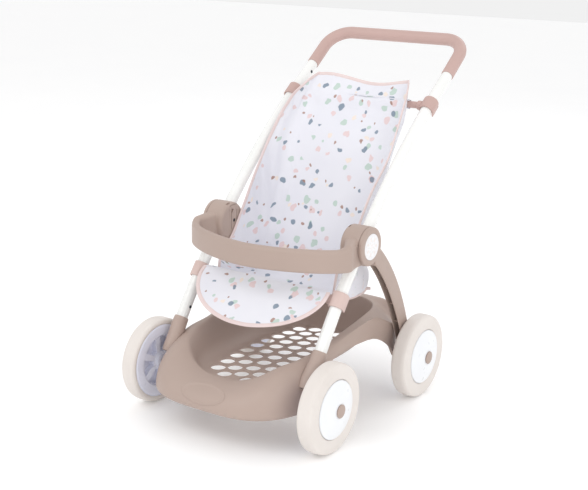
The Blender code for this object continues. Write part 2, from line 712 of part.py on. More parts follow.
def sling():
    """A bucket of even thickness, open at the front and top, with sloping upper corners."""
    back = sling_back()
    bar_y = tube_point(UPPER_BAR_Z)[1]
    front = relative([(0.0870, 0.2130), (0.0990, 0.2400), (0.1260, 0.2560), (0.1575, 0.3000),
                      (0.1880, 0.3450), (0.2320, 0.3960), (0.2630, 0.4380), (0.2955, 0.4740),
                      (0.3350, 0.4980), (0.3460, 0.5040)])
    shape = prism(back + front, -SLING_HALF_WIDTH, SLING_HALF_WIDTH)
    item = new_object("seat_sling", mesh_of(shape, "seat_sling"), "printed_cotton")
    inside = []
    for k, (y, z) in enumerate(back):
        ahead = Vector(back[min(k + 1, len(back) - 1)]) - Vector(back[max(k - 1, 0)])
        normal = Vector((ahead.y, -ahead.x)).normalized()
        inside.append((y + normal.x * CLOTH, z + normal.y * CLOTH))
    opening = inside + relative([(0.0500, 0.2100), (0.0500, 0.3500), (0.2500, 0.5600), (0.3400, 0.5600)])
    hollow = prism(opening, -SLING_HALF_WIDTH + CLOTH, SLING_HALF_WIDTH - CLOTH)
    add_boolean(item, cutter("sling_hollow", hollow))
    way = shifted(rod(-0.130, 0.130, CROSSBAR_RADIUS + 0.0008, 12), (0, bar_y, UPPER_BAR_Z))
    add_boolean(item, cutter("sling_bar_way", way))
    for label, side in SIDES:
        corner = [(0.0900, 0.5100), (0.1200, 0.5100), (0.1200, 0.4690), (0.1095, 0.4690)]
        wedge = loft([[(x, y, z) for x, z in corner] for y in (0.060, 0.260)])
        add_boolean(item, cutter("sling_corner_" + label, mirrored_x(wedge, side)))


def flap_half_width(share):
    """Half width at a share of the flap's length: a half oval, drawn in a little at the crossbar."""
    pinch = 0.0030 * max(1 - share / 0.20, 0.0) ** 2
    return FLAP_HALF_WIDTH * math.sqrt(max(1 - share ** 2.08, 0.0)) - pinch


def leg_flap():
    """Half-oval flap that slopes forward and down from the lower crossbar."""
    top = Vector((0, FRONT_AXLE_Y + 0.0697, 0.2164))
    ahead = Vector((0, -math.cos(FLAP_SLOPE), -math.sin(FLAP_SLOPE)))
    normal = Vector((0, -math.sin(FLAP_SLOPE), math.cos(FLAP_SLOPE)))
    shares = [math.sin(math.pi / 2 * k / 9) for k in range(10)]
    loops = []
    for lift in (0.0, CLOTH):
        half = [Vector((flap_half_width(s), 0, 0)) + top + ahead * FLAP_LENGTH * s + normal * lift for s in shares]
        other = [Vector((-p.x, p.y, p.z)) for p in half[-2::-1]]
        loops.append(half + other)
    new_object("leg_flap", mesh_of(loft(loops), "leg_flap"), "printed_cotton")


# ---------------------------------------------------------------- wheels and axles
def tyre_profile():
    half, out = WHEEL_WIDTH / 2, WHEEL_RADIUS / math.cos(math.pi / 24)
    return [(half - 0.0004, 0.0450), (half, 0.0560), (half - 0.0020, out - 0.0030), (half - 0.0070, out),
            (-half + 0.0070, out), (-half + 0.0022, out - 0.0032), (-half + 0.0014, 0.0603),
            (half - 0.0045, 0.0603), (half - 0.0045, 0.0450)]


def body_profile():
    half = WHEEL_WIDTH / 2
    bore, hub = PIN_RADIUS + GAP, 0.0105
    return [(half + 0.0045, bore), (half + 0.0045, hub), (half - 0.0048, hub), (half - 0.0048, 0.0585),
            (-half + 0.0010, 0.0585), (-half, 0.0570), (-half, 0.0420), (-half + 0.0025, 0.0380),
            (-half + 0.0035, hub), (-half - 0.0015, hub), (-half - 0.0015, bore)]


def pocket_shape():
    """Six pockets between the spokes on the wheel's inner side."""
    shape = bmesh.new()
    half = WHEEL_WIDTH / 2
    for k in range(6):
        middle = math.radians(60 * k + 30)
        spread = math.radians(21)
        outline = []
        for share in (-1, 0, 1):
            outline.append((0.0362, middle + spread * share))
        for share in (1, -1):
            outline.append((0.0150, middle + spread * 0.62 * share))
        loops = []
        for x in (-half - 0.003, half - 0.0085):
            loops.append([(x, r * math.cos(a), r * math.sin(a)) for r, a in outline])
        part = loft(loops)
        copy = bpy.data.meshes.new("pocket")
        part.to_mesh(copy)
        part.free()
        shape.from_mesh(copy)
        bpy.data.meshes.remove(copy)
    return shape


def cover_profile():
    half = WHEEL_WIDTH / 2
    face = [(half - 0.0012, 0.0444), (half + 0.0010, 0.0425), (half + 0.0048, 0.0300), (half + 0.0074, 0.0130),
            (half + 0.0074, 0.0048)]
    back = [(half + 0.0050, 0.0048), (half + 0.0050, 0.0130), (half + 0.0026, 0.0300), (half - 0.0012, 0.0405)]
    return face + back


def wheels():
    half = WHEEL_WIDTH / 2
    tyre = mesh_of(lathe(tyre_profile(), 24, half_turn=True), "tyre")
    body = mesh_of(lathe(body_profile(), 18, half_turn=True), "wheel_body")
    cover = mesh_of(lathe(cover_profile(), 20), "wheel_cover")
    cap_rings = ((half + 0.0077, 0.0103), (half + 0.0090, 0.0103), (half + 0.0097, 0.0088))
    cap = mesh_of(loft([circle_x(x, r, 18) for x, r in cap_rings]), "hub_cap")
    for place, y in (("front", FRONT_AXLE_Y), ("rear", REAR_AXLE_Y)):
        for label, side in SIDES:
            name = place + "_" + label
            hub = bpy.data.objects.new("hub_" + name, None)
            bpy.context.scene.collection.objects.link(hub)
            hub.location = (side * WHEEL_X, y, WHEEL_RADIUS)
            hub.rotation_euler = (0, 0, 0 if side > 0 else math.pi)
            pieces = ((tyre, "tyre_", "cream_tyre"), (body, "wheel_body_", "white_plastic"),
                      (cover, "wheel_cover_", "white_plastic"), (cap, "hub_cap_", "taupe_plastic"))
            for mesh, start, finish in pieces:
                item = new_object(start + name, mesh.copy(), finish)
                item.parent = hub
                if start == "wheel_body_":
                    pockets = cutter("spoke_pockets_" + name, pocket_shape())
                    pockets.parent = hub
                    add_boolean(item, pockets)


def axles():
    """Four short pins, each held by the tray's wall and running through a wheel."""
    for place, y in (("front", FRONT_AXLE_Y), ("rear", REAR_AXLE_Y)):
        for label, side in SIDES:
            pin = rod(PIN_INNER_X, WHEEL_X + WHEEL_WIDTH / 2 + 0.0068, PIN_RADIUS, 12, 0.0005)
            pin = shifted(pin, (0, y, WHEEL_RADIUS))
            name = place + "_pin_" + label
            new_object(name, mesh_of(mirrored_x(pin, side), name), "steel")


def main():
    clear_scene()
    base_tray()
    front_sockets()
    side_tubes()
    handle()
    snap_pins()
    bumper()
    housing_covers()
    rear_legs()
    medallions()
    crossbars()
    clips()
    sling()
    leg_flap()
    wheels()
    axles()


main()
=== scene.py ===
"""Looks of the doll stroller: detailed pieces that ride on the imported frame.

Metres, +Z up, +X is the stroller's left-hand side seen from behind, -Y is the front.
"""

import json
import math

import bmesh
import bpy
import numpy as np
from mathutils import Matrix, Vector, noise
from mathutils.bvhtree import BVHTree


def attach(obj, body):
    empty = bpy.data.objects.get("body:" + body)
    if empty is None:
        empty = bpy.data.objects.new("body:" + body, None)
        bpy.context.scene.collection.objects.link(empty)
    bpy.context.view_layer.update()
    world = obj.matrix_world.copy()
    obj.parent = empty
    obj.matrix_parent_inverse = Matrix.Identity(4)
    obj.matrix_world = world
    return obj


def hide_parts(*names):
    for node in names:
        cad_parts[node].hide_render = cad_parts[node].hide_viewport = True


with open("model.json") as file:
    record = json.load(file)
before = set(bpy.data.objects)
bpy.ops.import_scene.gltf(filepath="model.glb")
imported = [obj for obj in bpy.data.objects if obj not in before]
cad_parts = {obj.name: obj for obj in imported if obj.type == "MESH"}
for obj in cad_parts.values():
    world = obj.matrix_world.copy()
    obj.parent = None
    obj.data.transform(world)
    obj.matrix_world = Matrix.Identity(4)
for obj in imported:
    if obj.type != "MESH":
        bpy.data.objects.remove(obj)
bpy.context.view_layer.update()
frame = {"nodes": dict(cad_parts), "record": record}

# ---------------------------------------------------------------- dimensions shared with the frame
GAP = 0.0003
WHEEL_RADIUS, WHEEL_WIDTH, WHEEL_X = 0.0685, 0.0258, 0.1654
FRONT_Y = -0.1868
REAR_Y = FRONT_Y + 0.2707
PIN_RADIUS = 0.003
TUBE_X, TUBE_RADIUS, TUBE_WALL = 0.1320, 0.0095, 0.0010
ARC_Y, ARC_Z, ARC_RADIUS = 0.9691, -0.6007, 1.3505
TUBE_FOOT_Z, TUBE_TOP_Z = 0.100, 0.5123
HANDLE_RADIUS, HANDLE_BEND, HANDLE_REACH = 0.0104, 0.0394, 0.0871
HANDLE_SLOPE = math.radians(37.2)
SPIGOT_LENGTH = 0.026
HANDLE_PIN_Z, SOCKET_PIN_Z = TUBE_TOP_Z - 0.012, 0.155
BOSS_Z = 0.2800
BARREL_RADIUS, BARREL_INNER_X, BARREL_OUTER_X = 0.0305, 0.1115, 0.1445
COVER_DEPTH, SCREW_Y = 0.0040, 0.0050   # pocket of the inner cover, and its screw's place behind the axis
LEG_INNER_X, LEG_OUTER_X = 0.1372, 0.1508
DISC_RADIUS, MEDALLION_RADIUS = 0.0300, 0.0204
BUMPER_LOW, BUMPER_HIGH, BUMPER_THICK = 0.2520, 0.2870, 0.0150
BUMPER_HALF_WIDTH, BUMPER_DEPTH, ARM_RISE = 0.1495, 0.0740, 0.0095
BAR_RADIUS, CLIP_WALL = 0.0055, 0.0026
UPPER_BAR_Z, LOWER_BAR_Z = 0.4688, 0.2058
SIDES = (("left", 1), ("right", -1))


# ---------------------------------------------------------------- node graphs
class Graph:
    """A material's nodes, made one call at a time."""

    def __init__(self, name):
        self.material = bpy.data.materials.new(name)
        self.material.use_nodes = True
        self.tree = self.material.node_tree
        self.shader = self.tree.nodes["Principled BSDF"]

    def add(self, kind, inputs=None, **settings):
        made = self.tree.nodes.new("ShaderNode" + kind)
        for key, value in settings.items():
            setattr(made, key, value)
        for key, value in (inputs or {}).items():
            self.put(made.inputs[key], value)
        return made

    def put(self, socket, value):
        if isinstance(value, bpy.types.NodeSocket):
            self.tree.links.new(value, socket)
        else:
            socket.default_value = value

    def math(self, operation, first, second=0.0):
        made = self.add("Math", operation=operation)
        self.put(made.inputs[0], first)
        self.put(made.inputs[1], second)
        return made.outputs[0]

    def mix(self, share, first, second):
        made = self.add("Mix", data_type="RGBA")
        self.put(made.inputs[0], share)
        self.put(made.inputs[6], first)
        self.put(made.inputs[7], second)
        return made.outputs[2]

    def place(self):
        """The piece's own coordinates, in metres."""
        return self.add("TexCoord").outputs["Object"]

    def noise(self, scale, detail=2.0, rough=0.5, vector=None):
        inputs = {"Vector": vector or self.place(), "Scale": scale, "Detail": detail, "Roughness": rough}
        return self.add("TexNoise", inputs).outputs[0]

    def spread(self, value, low, high, to_low, to_high):
        inputs = {"Value": value, "From Min": low, "From Max": high, "To Min": to_low, "To Max": to_high}
        return self.add("MapRange", inputs).outputs[0]

    def vary(self, scale, detail, low=0.0, high=1.0, vector=None):
        """A value that drifts between low and high over the piece."""
        return self.spread(self.noise(scale, detail, 0.5, vector), 0.3, 0.7, low, high)

    def bump(self, height, distance, strength=1.0, under=None):
        inputs = {"Height": height, "Distance": distance, "Strength": strength}
        if under:
            inputs["Normal"] = under
        return self.add("Bump", inputs).outputs[0]

    def set(self, **values):
        names = {"colour": "Base Color", "rough": "Roughness", "normal": "Normal", "metal": "Metallic",
                 "coat": "Coat Weight", "coat_rough": "Coat Roughness", "sheen": "Sheen Weight",
                 "sheen_rough": "Sheen Roughness", "specular": "Specular IOR Level",
                 "subsurface": "Subsurface Weight", "subsurface_scale": "Subsurface Scale"}
        for key, value in values.items():
            self.put(self.shader.inputs[names[key]], value)
        return self.material


def scaled(colour, factor):
    return (*[min(c * factor, 1.0) for c in colour[:3]], 1.0)


def moulded(name, colour, rough, grain, worn=1.10):
    """Moulded plastic: fine spark-eroded grain, slow colour drift, slightly paler worn edges."""
    g = Graph(name)
    drift = g.vary(9.0, 3.0)
    base = g.mix(drift, scaled(colour, 0.965), scaled(colour, 1.03))
    edge = g.spread(g.add("NewGeometry").outputs["Pointiness"], 0.53, 0.60, 0.0, 0.7)
    rub = g.math("MULTIPLY", edge, g.spread(g.noise(55.0, 4.0), 0.4, 0.65, 0.2, 1.0))
    base = g.mix(rub, base, scaled(colour, worn))
    fine = g.noise(1900.0, 2.0, 0.6)
    swirl = g.noise(70.0, 3.0)
    gloss = g.spread(swirl, 0.3, 0.7, rough - 0.035, rough + 0.045)
    normal = g.bump(fine, 0.00006, grain)
    normal = g.bump(swirl, 0.00025, 0.10, under=normal)
    return g.set(colour=base, rough=gloss, normal=normal, specular=0.4)


def painted(name):
    """White stoved paint on steel tube: a faint orange peel under a clear gloss."""
    g = Graph(name)
    drift = g.vary(14.0, 2.0)
    base = g.mix(drift, (0.86, 0.865, 0.845, 1.0), (0.90, 0.90, 0.885, 1.0))
    peel = g.noise(420.0, 2.0)
    gloss = g.vary(60.0, 3.0, 0.22, 0.32)
    return g.set(colour=base, rough=gloss, normal=g.bump(peel, 0.00010, 0.18), coat=0.35, coat_rough=0.12)


def foam_tyre(name):
    """Cream moulded tyre: very fine pores and a soft, slightly waxy surface."""
    g = Graph(name)
    drift = g.vary(16.0, 3.0)
    base = g.mix(drift, (0.745, 0.692, 0.652, 1.0), (0.785, 0.735, 0.698, 1.0))
    pores = g.add("TexVoronoi", {"Vector": g.place(), "Scale": 1500.0}).outputs["Distance"]
    dust = g.spread(g.noise(240.0, 4.0), 0.55, 0.75, 0.0, 0.25)
    base = g.mix(dust, base, (0.74, 0.67, 0.61, 1.0))
    gloss = g.vary(45.0, 3.0, 0.52, 0.62)
    return g.set(colour=base, rough=gloss, normal=g.bump(pores, 0.00008, 0.35), specular=0.35)


def gloss_white(name, painted_shade=1.0):
    """White polished moulding with faint flow marks that run round the hub. A second argument below 1 darkens
    red and green as painted shade.
    """
    g = Graph(name)
    drift = g.vary(20.0, 2.0)
    base = g.mix(drift, (0.845 * painted_shade, 0.860 * painted_shade, 0.885, 1.0), (0.865 * painted_shade, 0.880 * painted_shade, 0.905, 1.0))
    flow = g.noise(60.0, 2.0)
    gloss = g.spread(flow, 0.3, 0.7, 0.27, 0.33)
    return g.set(colour=base, rough=gloss, normal=g.bump(flow, 0.00010, 0.05), specular=0.45)


def metal(name, colour, rough, turned):
    """Bare or blackened steel with fine turning marks."""
    g = Graph(name)
    marks = g.add("TexWave", {"Vector": g.place(), "Scale": turned, "Distortion": 1.5, "Detail": 3.0},
                  bands_direction="X").outputs[1]
    spots = g.noise(300.0, 4.0)
    base = g.mix(g.spread(spots, 0.35, 0.7, 0.0, 1.0), scaled(colour, 0.85), scaled(colour, 1.1))
    gloss = g.spread(spots, 0.3, 0.7, rough - 0.05, rough + 0.10)
    return g.set(colour=base, rough=gloss, metal=1.0, normal=g.bump(marks, 0.00003, 0.4))


def weave(g, flat, pitch, depth):
    """Plain weave as height: over and under threads along both directions of the cloth."""
    parts = g.add("SeparateXYZ", {"Vector": flat})
    turn = 2 * math.pi / pitch
    u = g.math("SINE", g.math("MULTIPLY", parts.outputs[0], turn))
    v = g.math("SINE", g.math("MULTIPLY", parts.outputs[1], turn))
    height = g.math("MULTIPLY", u, v)
    slub = g.noise(900.0, 3.0, 0.6, flat)
    height = g.math("ADD", height, g.math("MULTIPLY", slub, 1.6))
    return g.bump(height, depth, 0.55)


def blots(g, flat, cell, low, high, shift, keep):
    """Scattered rounded blots, 1 inside and 0 outside, one at most in each cell."""
    push = g.add("TexNoise", {"Vector": flat, "Scale": 80.0, "Detail": 1.0}, noise_dimensions="2D").outputs[1]
    push = g.add("VectorMath", {0: push, 1: (0.5, 0.5, 0.5)}, operation="SUBTRACT").outputs[0]
    push = g.add("VectorMath", {0: push, "Scale": 0.0085}, operation="SCALE").outputs[0]
    moved = g.add("VectorMath", {0: flat, 1: push}, operation="ADD").outputs[0]
    moved = g.add("VectorMath", {0: moved, 1: (shift, shift * 1.7, 0)}, operation="ADD").outputs[0]
    cells = g.add("TexVoronoi", {"Vector": moved, "Scale": 1.0 / cell, "Randomness": 0.85},
                  voronoi_dimensions="2D")
    tone = g.add("SeparateColor", {"Color": cells.outputs["Color"]})
    size = g.spread(tone.outputs[0], 0.0, 1.0, low / cell, high / cell)
    kept = g.math("LESS_THAN", tone.outputs[1], keep)
    edge = g.math("SUBTRACT", size, cells.outputs["Distance"])
    inside = g.spread(edge, -0.0003 / cell, 0.0008 / cell, 0.0, 1.0)
    return g.math("MULTIPLY", inside, kept)


PRINT = (  # colour, cell, smallest and largest radius, offset, share of cells that are printed
    ((0.890, 0.780, 0.690, 1), 0.0400, 0.0030, 0.0052, 0.011, 0.45),
    ((0.800, 0.620, 0.620, 1), 0.0340, 0.0034, 0.0064, 0.023, 0.60),
    ((0.520, 0.650, 0.580, 1), 0.0350, 0.0032, 0.0062, 0.037, 0.60),
    ((0.200, 0.270, 0.350, 1), 0.0350, 0.0028, 0.0056, 0.053, 0.62),
    ((0.400, 0.230, 0.180, 1), 0.0380, 0.0018, 0.0034, 0.071, 0.62),
)


def printed_cotton(name, faded=0.0):
    """Printed plain-weave cotton. The print follows the cloth's own flat coordinates."""
    g = Graph(name)
    flat = g.add("Attribute", attribute_name="cloth").outputs["Vector"]
    tint = g.vary(7.0, 3.0, vector=flat)
    base = g.mix(tint, (0.800, 0.800, 0.865, 1), (0.850, 0.850, 0.900, 1))
    for colour, cell, low, high, shift, keep in PRINT:
        ink = blots(g, flat, cell, low, high, shift, keep)
        speck = g.spread(g.noise(1400.0, 2.0, 0.5, flat), 0.35, 0.65, 0.80, 0.95)
        base = g.mix(g.math("MULTIPLY", g.math("MULTIPLY", ink, speck), 1.0 - faded), base, colour)
    normal = weave(g, flat, 0.00062, 0.00010)
    return g.set(colour=base, rough=0.88, normal=normal, sheen=0.25, sheen_rough=0.4, specular=0.2)


def tape_cotton(name):
    """Pink bias tape: a close diagonal weave."""
    g = Graph(name)
    where = g.place()
    tint = g.vary(40.0, 3.0, vector=where)
    base = g.mix(tint, (0.760, 0.625, 0.610, 1), (0.815, 0.685, 0.670, 1))
    ribs = g.add("TexWave", {"Vector": where, "Scale": 520.0, "Distortion": 0.6, "Detail": 2.0},
                 bands_direction="DIAGONAL").outputs[1]
    fuzz = g.noise(1500.0, 3.0, 0.6, where)
    height = g.math("ADD", ribs, g.math("MULTIPLY", fuzz, 0.8))
    return g.set(colour=base, rough=0.85, normal=g.bump(height, 0.00010, 0.6), sheen=0.3,
                 sheen_rough=0.4, specular=0.2)


def thread(name):
    g = Graph(name)
    twist = g.add("TexWave", {"Vector": g.place(), "Scale": 1500.0, "Distortion": 1.0},
                  bands_direction="DIAGONAL").outputs[1]
    base = g.mix(twist, (0.70, 0.56, 0.55, 1), (0.83, 0.71, 0.70, 1))
    return g.set(colour=base, rough=0.6, normal=g.bump(twist, 0.00006, 0.6), sheen=0.2, sheen_rough=0.4)


def printed_disc(name):
    """White enamelled disc with a pale wreath of petals; the pattern is drawn round the disc's own centre."""
    g = Graph(name)
    flat = g.add("Attribute", attribute_name="disc").outputs["Vector"]
    parts = g.add("SeparateXYZ", {"Vector": flat})
    radius = g.add("VectorMath", {0: flat}, operation="LENGTH").outputs["Value"]
    angle = g.math("ARCTAN2", parts.outputs[1], parts.outputs[0])
    base = (0.86, 0.85, 0.86, 1)
    for count, middle, reach, width, turn, colour in (
            (7, 0.0120, 0.0034, 0.62, 0.0, (0.760, 0.640, 0.570, 1)),
            (7, 0.0085, 0.0022, 0.50, 0.45, (0.660, 0.690, 0.640, 1)),
            (14, 0.0158, 0.0011, 0.42, 0.2, (0.690, 0.700, 0.730, 1)),
            (5, 0.0032, 0.0024, 0.70, 0.3, (0.780, 0.660, 0.590, 1))):
        wave = g.math("COSINE", g.math("MULTIPLY", g.math("ADD", angle, turn), float(count)))
        petal = g.math("SUBTRACT", wave, 1.0 - width)
        ring = g.math("SUBTRACT", 1.0, g.math("ABSOLUTE", g.math("DIVIDE", g.math(
            "SUBTRACT", radius, middle), reach)))
        inside = g.math("MINIMUM", petal, ring)
        base = g.mix(g.spread(inside, 0.0, 0.12, 0.0, 0.42), base, colour)
    fine = g.noise(500.0, 2.0)
    return g.set(colour=base, rough=g.spread(fine, 0.3, 0.7, 0.28, 0.36), normal=g.bump(fine, 0.00003, 0.2),
                 coat=0.3, coat_rough=0.15)


TAUPE = (0.448, 0.346, 0.300)
ROSE = (0.555, 0.385, 0.350)
PALE_ROSE = (0.665, 0.510, 0.470)
FINISHES = {
    "taupe_plastic": moulded("taupe_plastic_look", TAUPE, 0.47, 0.55),
    "rose_plastic": moulded("rose_plastic_look", ROSE, 0.42, 0.35),
    "pale_rose_plastic": moulded("pale_rose_plastic_look", PALE_ROSE, 0.45, 0.35, 1.06),
    "white_paint": painted("white_paint_look"),
    "cream_tyre": foam_tyre("cream_tyre_look"),
    "white_plastic": gloss_white("white_plastic_look"),
    # The wheel body's finish is the covers' white plastic, darkened and blued: painted shade for its shaded
    # inner side.
    "wheel_white": gloss_white("wheel_body_painted_shade_look", 0.90),
    "print_disc": printed_disc("print_disc_look"),
    "printed_cotton": printed_cotton("printed_cotton_look"),
    "tape": tape_cotton("tape_look"),
    "thread": thread("thread_look"),
    "steel": metal("steel_look", (0.52, 0.52, 0.54), 0.30, 900.0),
    "dark_steel": metal("dark_steel_look", (0.075, 0.085, 0.10), 0.42, 700.0),
}


# ---------------------------------------------------------------- mesh helpers
def linked(name, data):
    """A new object in the scene."""
    item = bpy.data.objects.new(name, data)
    bpy.context.scene.collection.objects.link(item)
    return item


def mesh_of(shape, name):
    bmesh.ops.remove_doubles(shape, verts=shape.verts, dist=2e-6)
    bmesh.ops.recalc_face_normals(shape, faces=shape.faces)
    mesh = bpy.data.meshes.new(name)
    shape.to_mesh(mesh)
    shape.free()
    return mesh


def piece(name, shape, finish, body="frame", replaced=(), sharp=38):
    """A visible piece from a bmesh or a mesh, in row coordinates."""
    mesh = shape if isinstance(shape, bpy.types.Mesh) else mesh_of(shape, name)
    mesh.materials.clear()
    mesh.materials.append(FINISHES[finish])
    made = linked(name, mesh)
    smooth(made, sharp)
    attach(made, body)
    if replaced:
        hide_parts(*replaced)
    return made


def smooth(item, sharp=38):
    item.data.shade_smooth()
    item.data.set_sharp_from_angle(angle=math.radians(sharp))


def bake(item, sharp=38):
    """Turn the piece's modifiers into mesh."""
    graph = bpy.context.evaluated_depsgraph_get()
    mesh = bpy.data.meshes.new_from_object(item.evaluated_get(graph))
    item.modifiers.clear()
    item.data = mesh
    smooth(item, sharp)
    return item


def modify(item, kind, **settings):
    made = item.modifiers.new(kind.lower(), kind)
    for key, value in settings.items():
        setattr(made, key, value)
    return made


def boolean(item, shape, operation="DIFFERENCE", sharp=38):
    helper = linked("helper", mesh_of(shape, "helper"))
    modify(item, "BOOLEAN", operation=operation, object=helper, solver="EXACT")
    bake(item, sharp)
    bpy.data.objects.remove(helper)
    return item


def joined(shapes):
    """One bmesh from several."""
    total = bmesh.new()
    for shape in shapes:
        mesh = bpy.data.meshes.new("part")
        bmesh.ops.recalc_face_normals(shape, faces=shape.faces)
        shape.to_mesh(mesh)
        shape.free()
        total.from_mesh(mesh)
        bpy.data.meshes.remove(mesh)
    return total


def loft(loops, caps=True, wrap=False):
    """Skin equal-length loops of points; wrap joins the last loop to the first."""
    shape = bmesh.new()
    rings = [[shape.verts.new(point) for point in loop] for loop in loops]
    pairs = list(zip(rings, rings[1:]))
    if wrap:
        pairs.append((rings[-1], rings[0]))
    for low, high in pairs:
        for i in range(len(low)):
            j = (i + 1) % len(low)
            shape.faces.new((low[i], low[j], high[j], high[i]))
    if caps and not wrap:
        shape.faces.new(rings[0])
        shape.faces.new(rings[-1])
    return shape


def prism(outline, x_low, x_high):
    return loft([[(x, y, z) for y, z in outline] for x in (x_low, x_high)])


def circle_x(x, radius, segments):
    return [(x, radius * math.cos(2 * math.pi * k / segments), radius * math.sin(2 * math.pi * k / segments))
            for k in range(segments)]


def disc(rows, segments):
    """A solid of revolution about X from (x, radius) rows, closed flat at both ends."""
    return loft([circle_x(x, radius, segments) for x, radius in rows])


def quarter(x, radius, out, drop, steps, first=1):
    """Rows of a rounded edge: x goes out as the radius drops, round a quarter ellipse."""
    turns = [math.pi / 2 * k / steps for k in range(first, steps + 1)]
    return [(x + out * math.sin(a), radius - drop * (1 - math.cos(a))) for a in turns]


def turned(profile, segments):
    """Turn a closed (x, radius) profile about the X axis."""
    loops = []
    for k in range(segments):
        a = 2 * math.pi * k / segments
        loops.append([(x, r * math.cos(a), r * math.sin(a)) for x, r in profile])
    return loft(loops, wrap=True)


def rounded(points, radius, steps=4):
    """Fillet the corners of a closed 2-D outline."""
    out = []
    total = len(points)
    for i, point in enumerate(points):
        here = Vector(point[:2])
        before, after = Vector(points[i - 1][:2]) - here, Vector(points[(i + 1) % total][:2]) - here
        size = point[2] if len(point) > 2 else radius
        reach = min(size, before.length * 0.49, after.length * 0.49)
        if reach < 1e-6:
            out.append(tuple(here))
            continue
        a, b = here + before.normalized() * reach, here + after.normalized() * reach
        for k in range(steps + 1):
            t = k / steps
            out.append(tuple(a.lerp(here, t).lerp(here.lerp(b, t), t)))
    return out


def rod(x_low, x_high, radius, segments=32, edge=0.0):
    """A cylinder along X whose ends are rounded over."""
    rows = [(x_low, radius)]
    if edge:
        rows = [(x_low + edge * (1 - math.cos(a)), radius - edge * (1 - math.sin(a)))
                for a in (0.0, math.pi / 6, math.pi / 3, math.pi / 2)]
        rows += [(x_high - (x - x_low), r) for x, r in rows[::-1]]
    else:
        rows.append((x_high, radius))
    return disc(rows, segments)


def moved(shape, offset):
    bmesh.ops.translate(shape, verts=shape.verts, vec=offset)
    return shape


def mirrored(shape, side):
    if side < 0:
        bmesh.ops.scale(shape, verts=shape.verts, vec=(-1, 1, 1))
    return shape


def smoothstep(low, high, value):
    t = min(max((value - low) / (high - low), 0.0), 1.0)
    return t * t * (3 - 2 * t)


def between(a, b, c, d, t):
    """A Catmull-Rom step from b to c."""
    return 0.5 * ((2 * b) + (c - a) * t + (2 * a - 5 * b + 4 * c - d) * t ** 2
                  + (3 * b - a - 3 * c + d) * t ** 3)


def sweep(path, radii, segments, normal=None):
    """Rings square to a path that lies in a plane."""
    if normal is None:
        middle = path[len(path) // 2]
        normal = (middle - path[0]).cross(path[-1] - middle).normalized()
    rings = []
    for i, point in enumerate(path):
        along = (path[min(i + 1, len(path) - 1)] - path[max(i - 1, 0)]).normalized()
        across = normal.cross(along).normalized()
        third = along.cross(across)
        ring = []
        for k in range(segments):
            a = 2 * math.pi * k / segments
            ring.append(point + radii[i] * (math.cos(a) * across + math.sin(a) * third))
        rings.append(ring)
    return rings


def tube_point(z):
    """Point of the side tubes' curved centre line at height z."""
    return Vector((TUBE_X, ARC_Y - math.sqrt(ARC_RADIUS ** 2 - (z - ARC_Z) ** 2), z))


def tube_path(z_low, z_high, count):
    return [tube_point(z_low + (z_high - z_low) * k / (count - 1)) for k in range(count)]


def tube_frame(z):
    """Z runs up the tube at height z and X is the world's."""
    up = (tube_point(z + 0.001) - tube_point(z - 0.001)).normalized()
    across = Vector((1, 0, 0))
    turn = Matrix((across, up.cross(across), up)).transposed().to_4x4()
    return Matrix.Translation(tube_point(z)) @ turn


BOSS_Y = tube_point(BOSS_Z).y


def at_boss(shape, side, y=0.0):
    """A shape drawn about the housing's axis, put in place on one side, y further back."""
    return mirrored(moved(shape, (0, BOSS_Y + y, BOSS_Z)), side)


def at_tube(shape, z, side):
    """A shape drawn about the X axis, put at height z of one side's tube."""
    spot = tube_point(z)
    return mirrored(moved(shape, (0, spot.y, spot.z)), side)


def tube_bore(z_low, z_high, count, side):
    """Cutter for the hole that a side tube passes through."""
    path = tube_path(z_low, z_high, count)
    return mirrored(loft(sweep(path, [TUBE_RADIUS + GAP] * count, 40)), side)


# ---------------------------------------------------------------- side tubes, handle, pins
def side_tubes():
    path = tube_path(TUBE_FOOT_Z, TUBE_TOP_Z, 48)
    soft = 0.0004
    radii = [TUBE_RADIUS - soft] + [TUBE_RADIUS] * 46 + [TUBE_RADIUS - soft]
    for label, side in SIDES:
        outer = sweep(path, radii, 40)
        inner = sweep(path, [TUBE_RADIUS - TUBE_WALL] * 48, 40)
        tube = piece("painted_tube_" + label, mirrored(loft(outer + inner[::-1], wrap=True), side),
                     "white_paint", replaced=["side_tube_" + label])
        holes = []
        for z in (HANDLE_PIN_Z, SOCKET_PIN_Z):
            hole = rod(TUBE_X - TUBE_RADIUS - 0.004, TUBE_X - 0.004, 0.0030, 20)
            holes.append(at_tube(hole, z, side))
        boolean(tube, joined(holes), sharp=50)


def snap_pins():
    for place, z in (("handle", HANDLE_PIN_Z), ("socket", SOCKET_PIN_Z)):
        for label, side in SIDES:
            low = TUBE_X - TUBE_RADIUS
            shape = rod(low - 0.0008, low + 0.0030, 0.0024, 20, 0.0008)
            name = place + "_pin_" + label
            piece("snap_" + name, at_tube(shape, z, side), "dark_steel", replaced=[name])


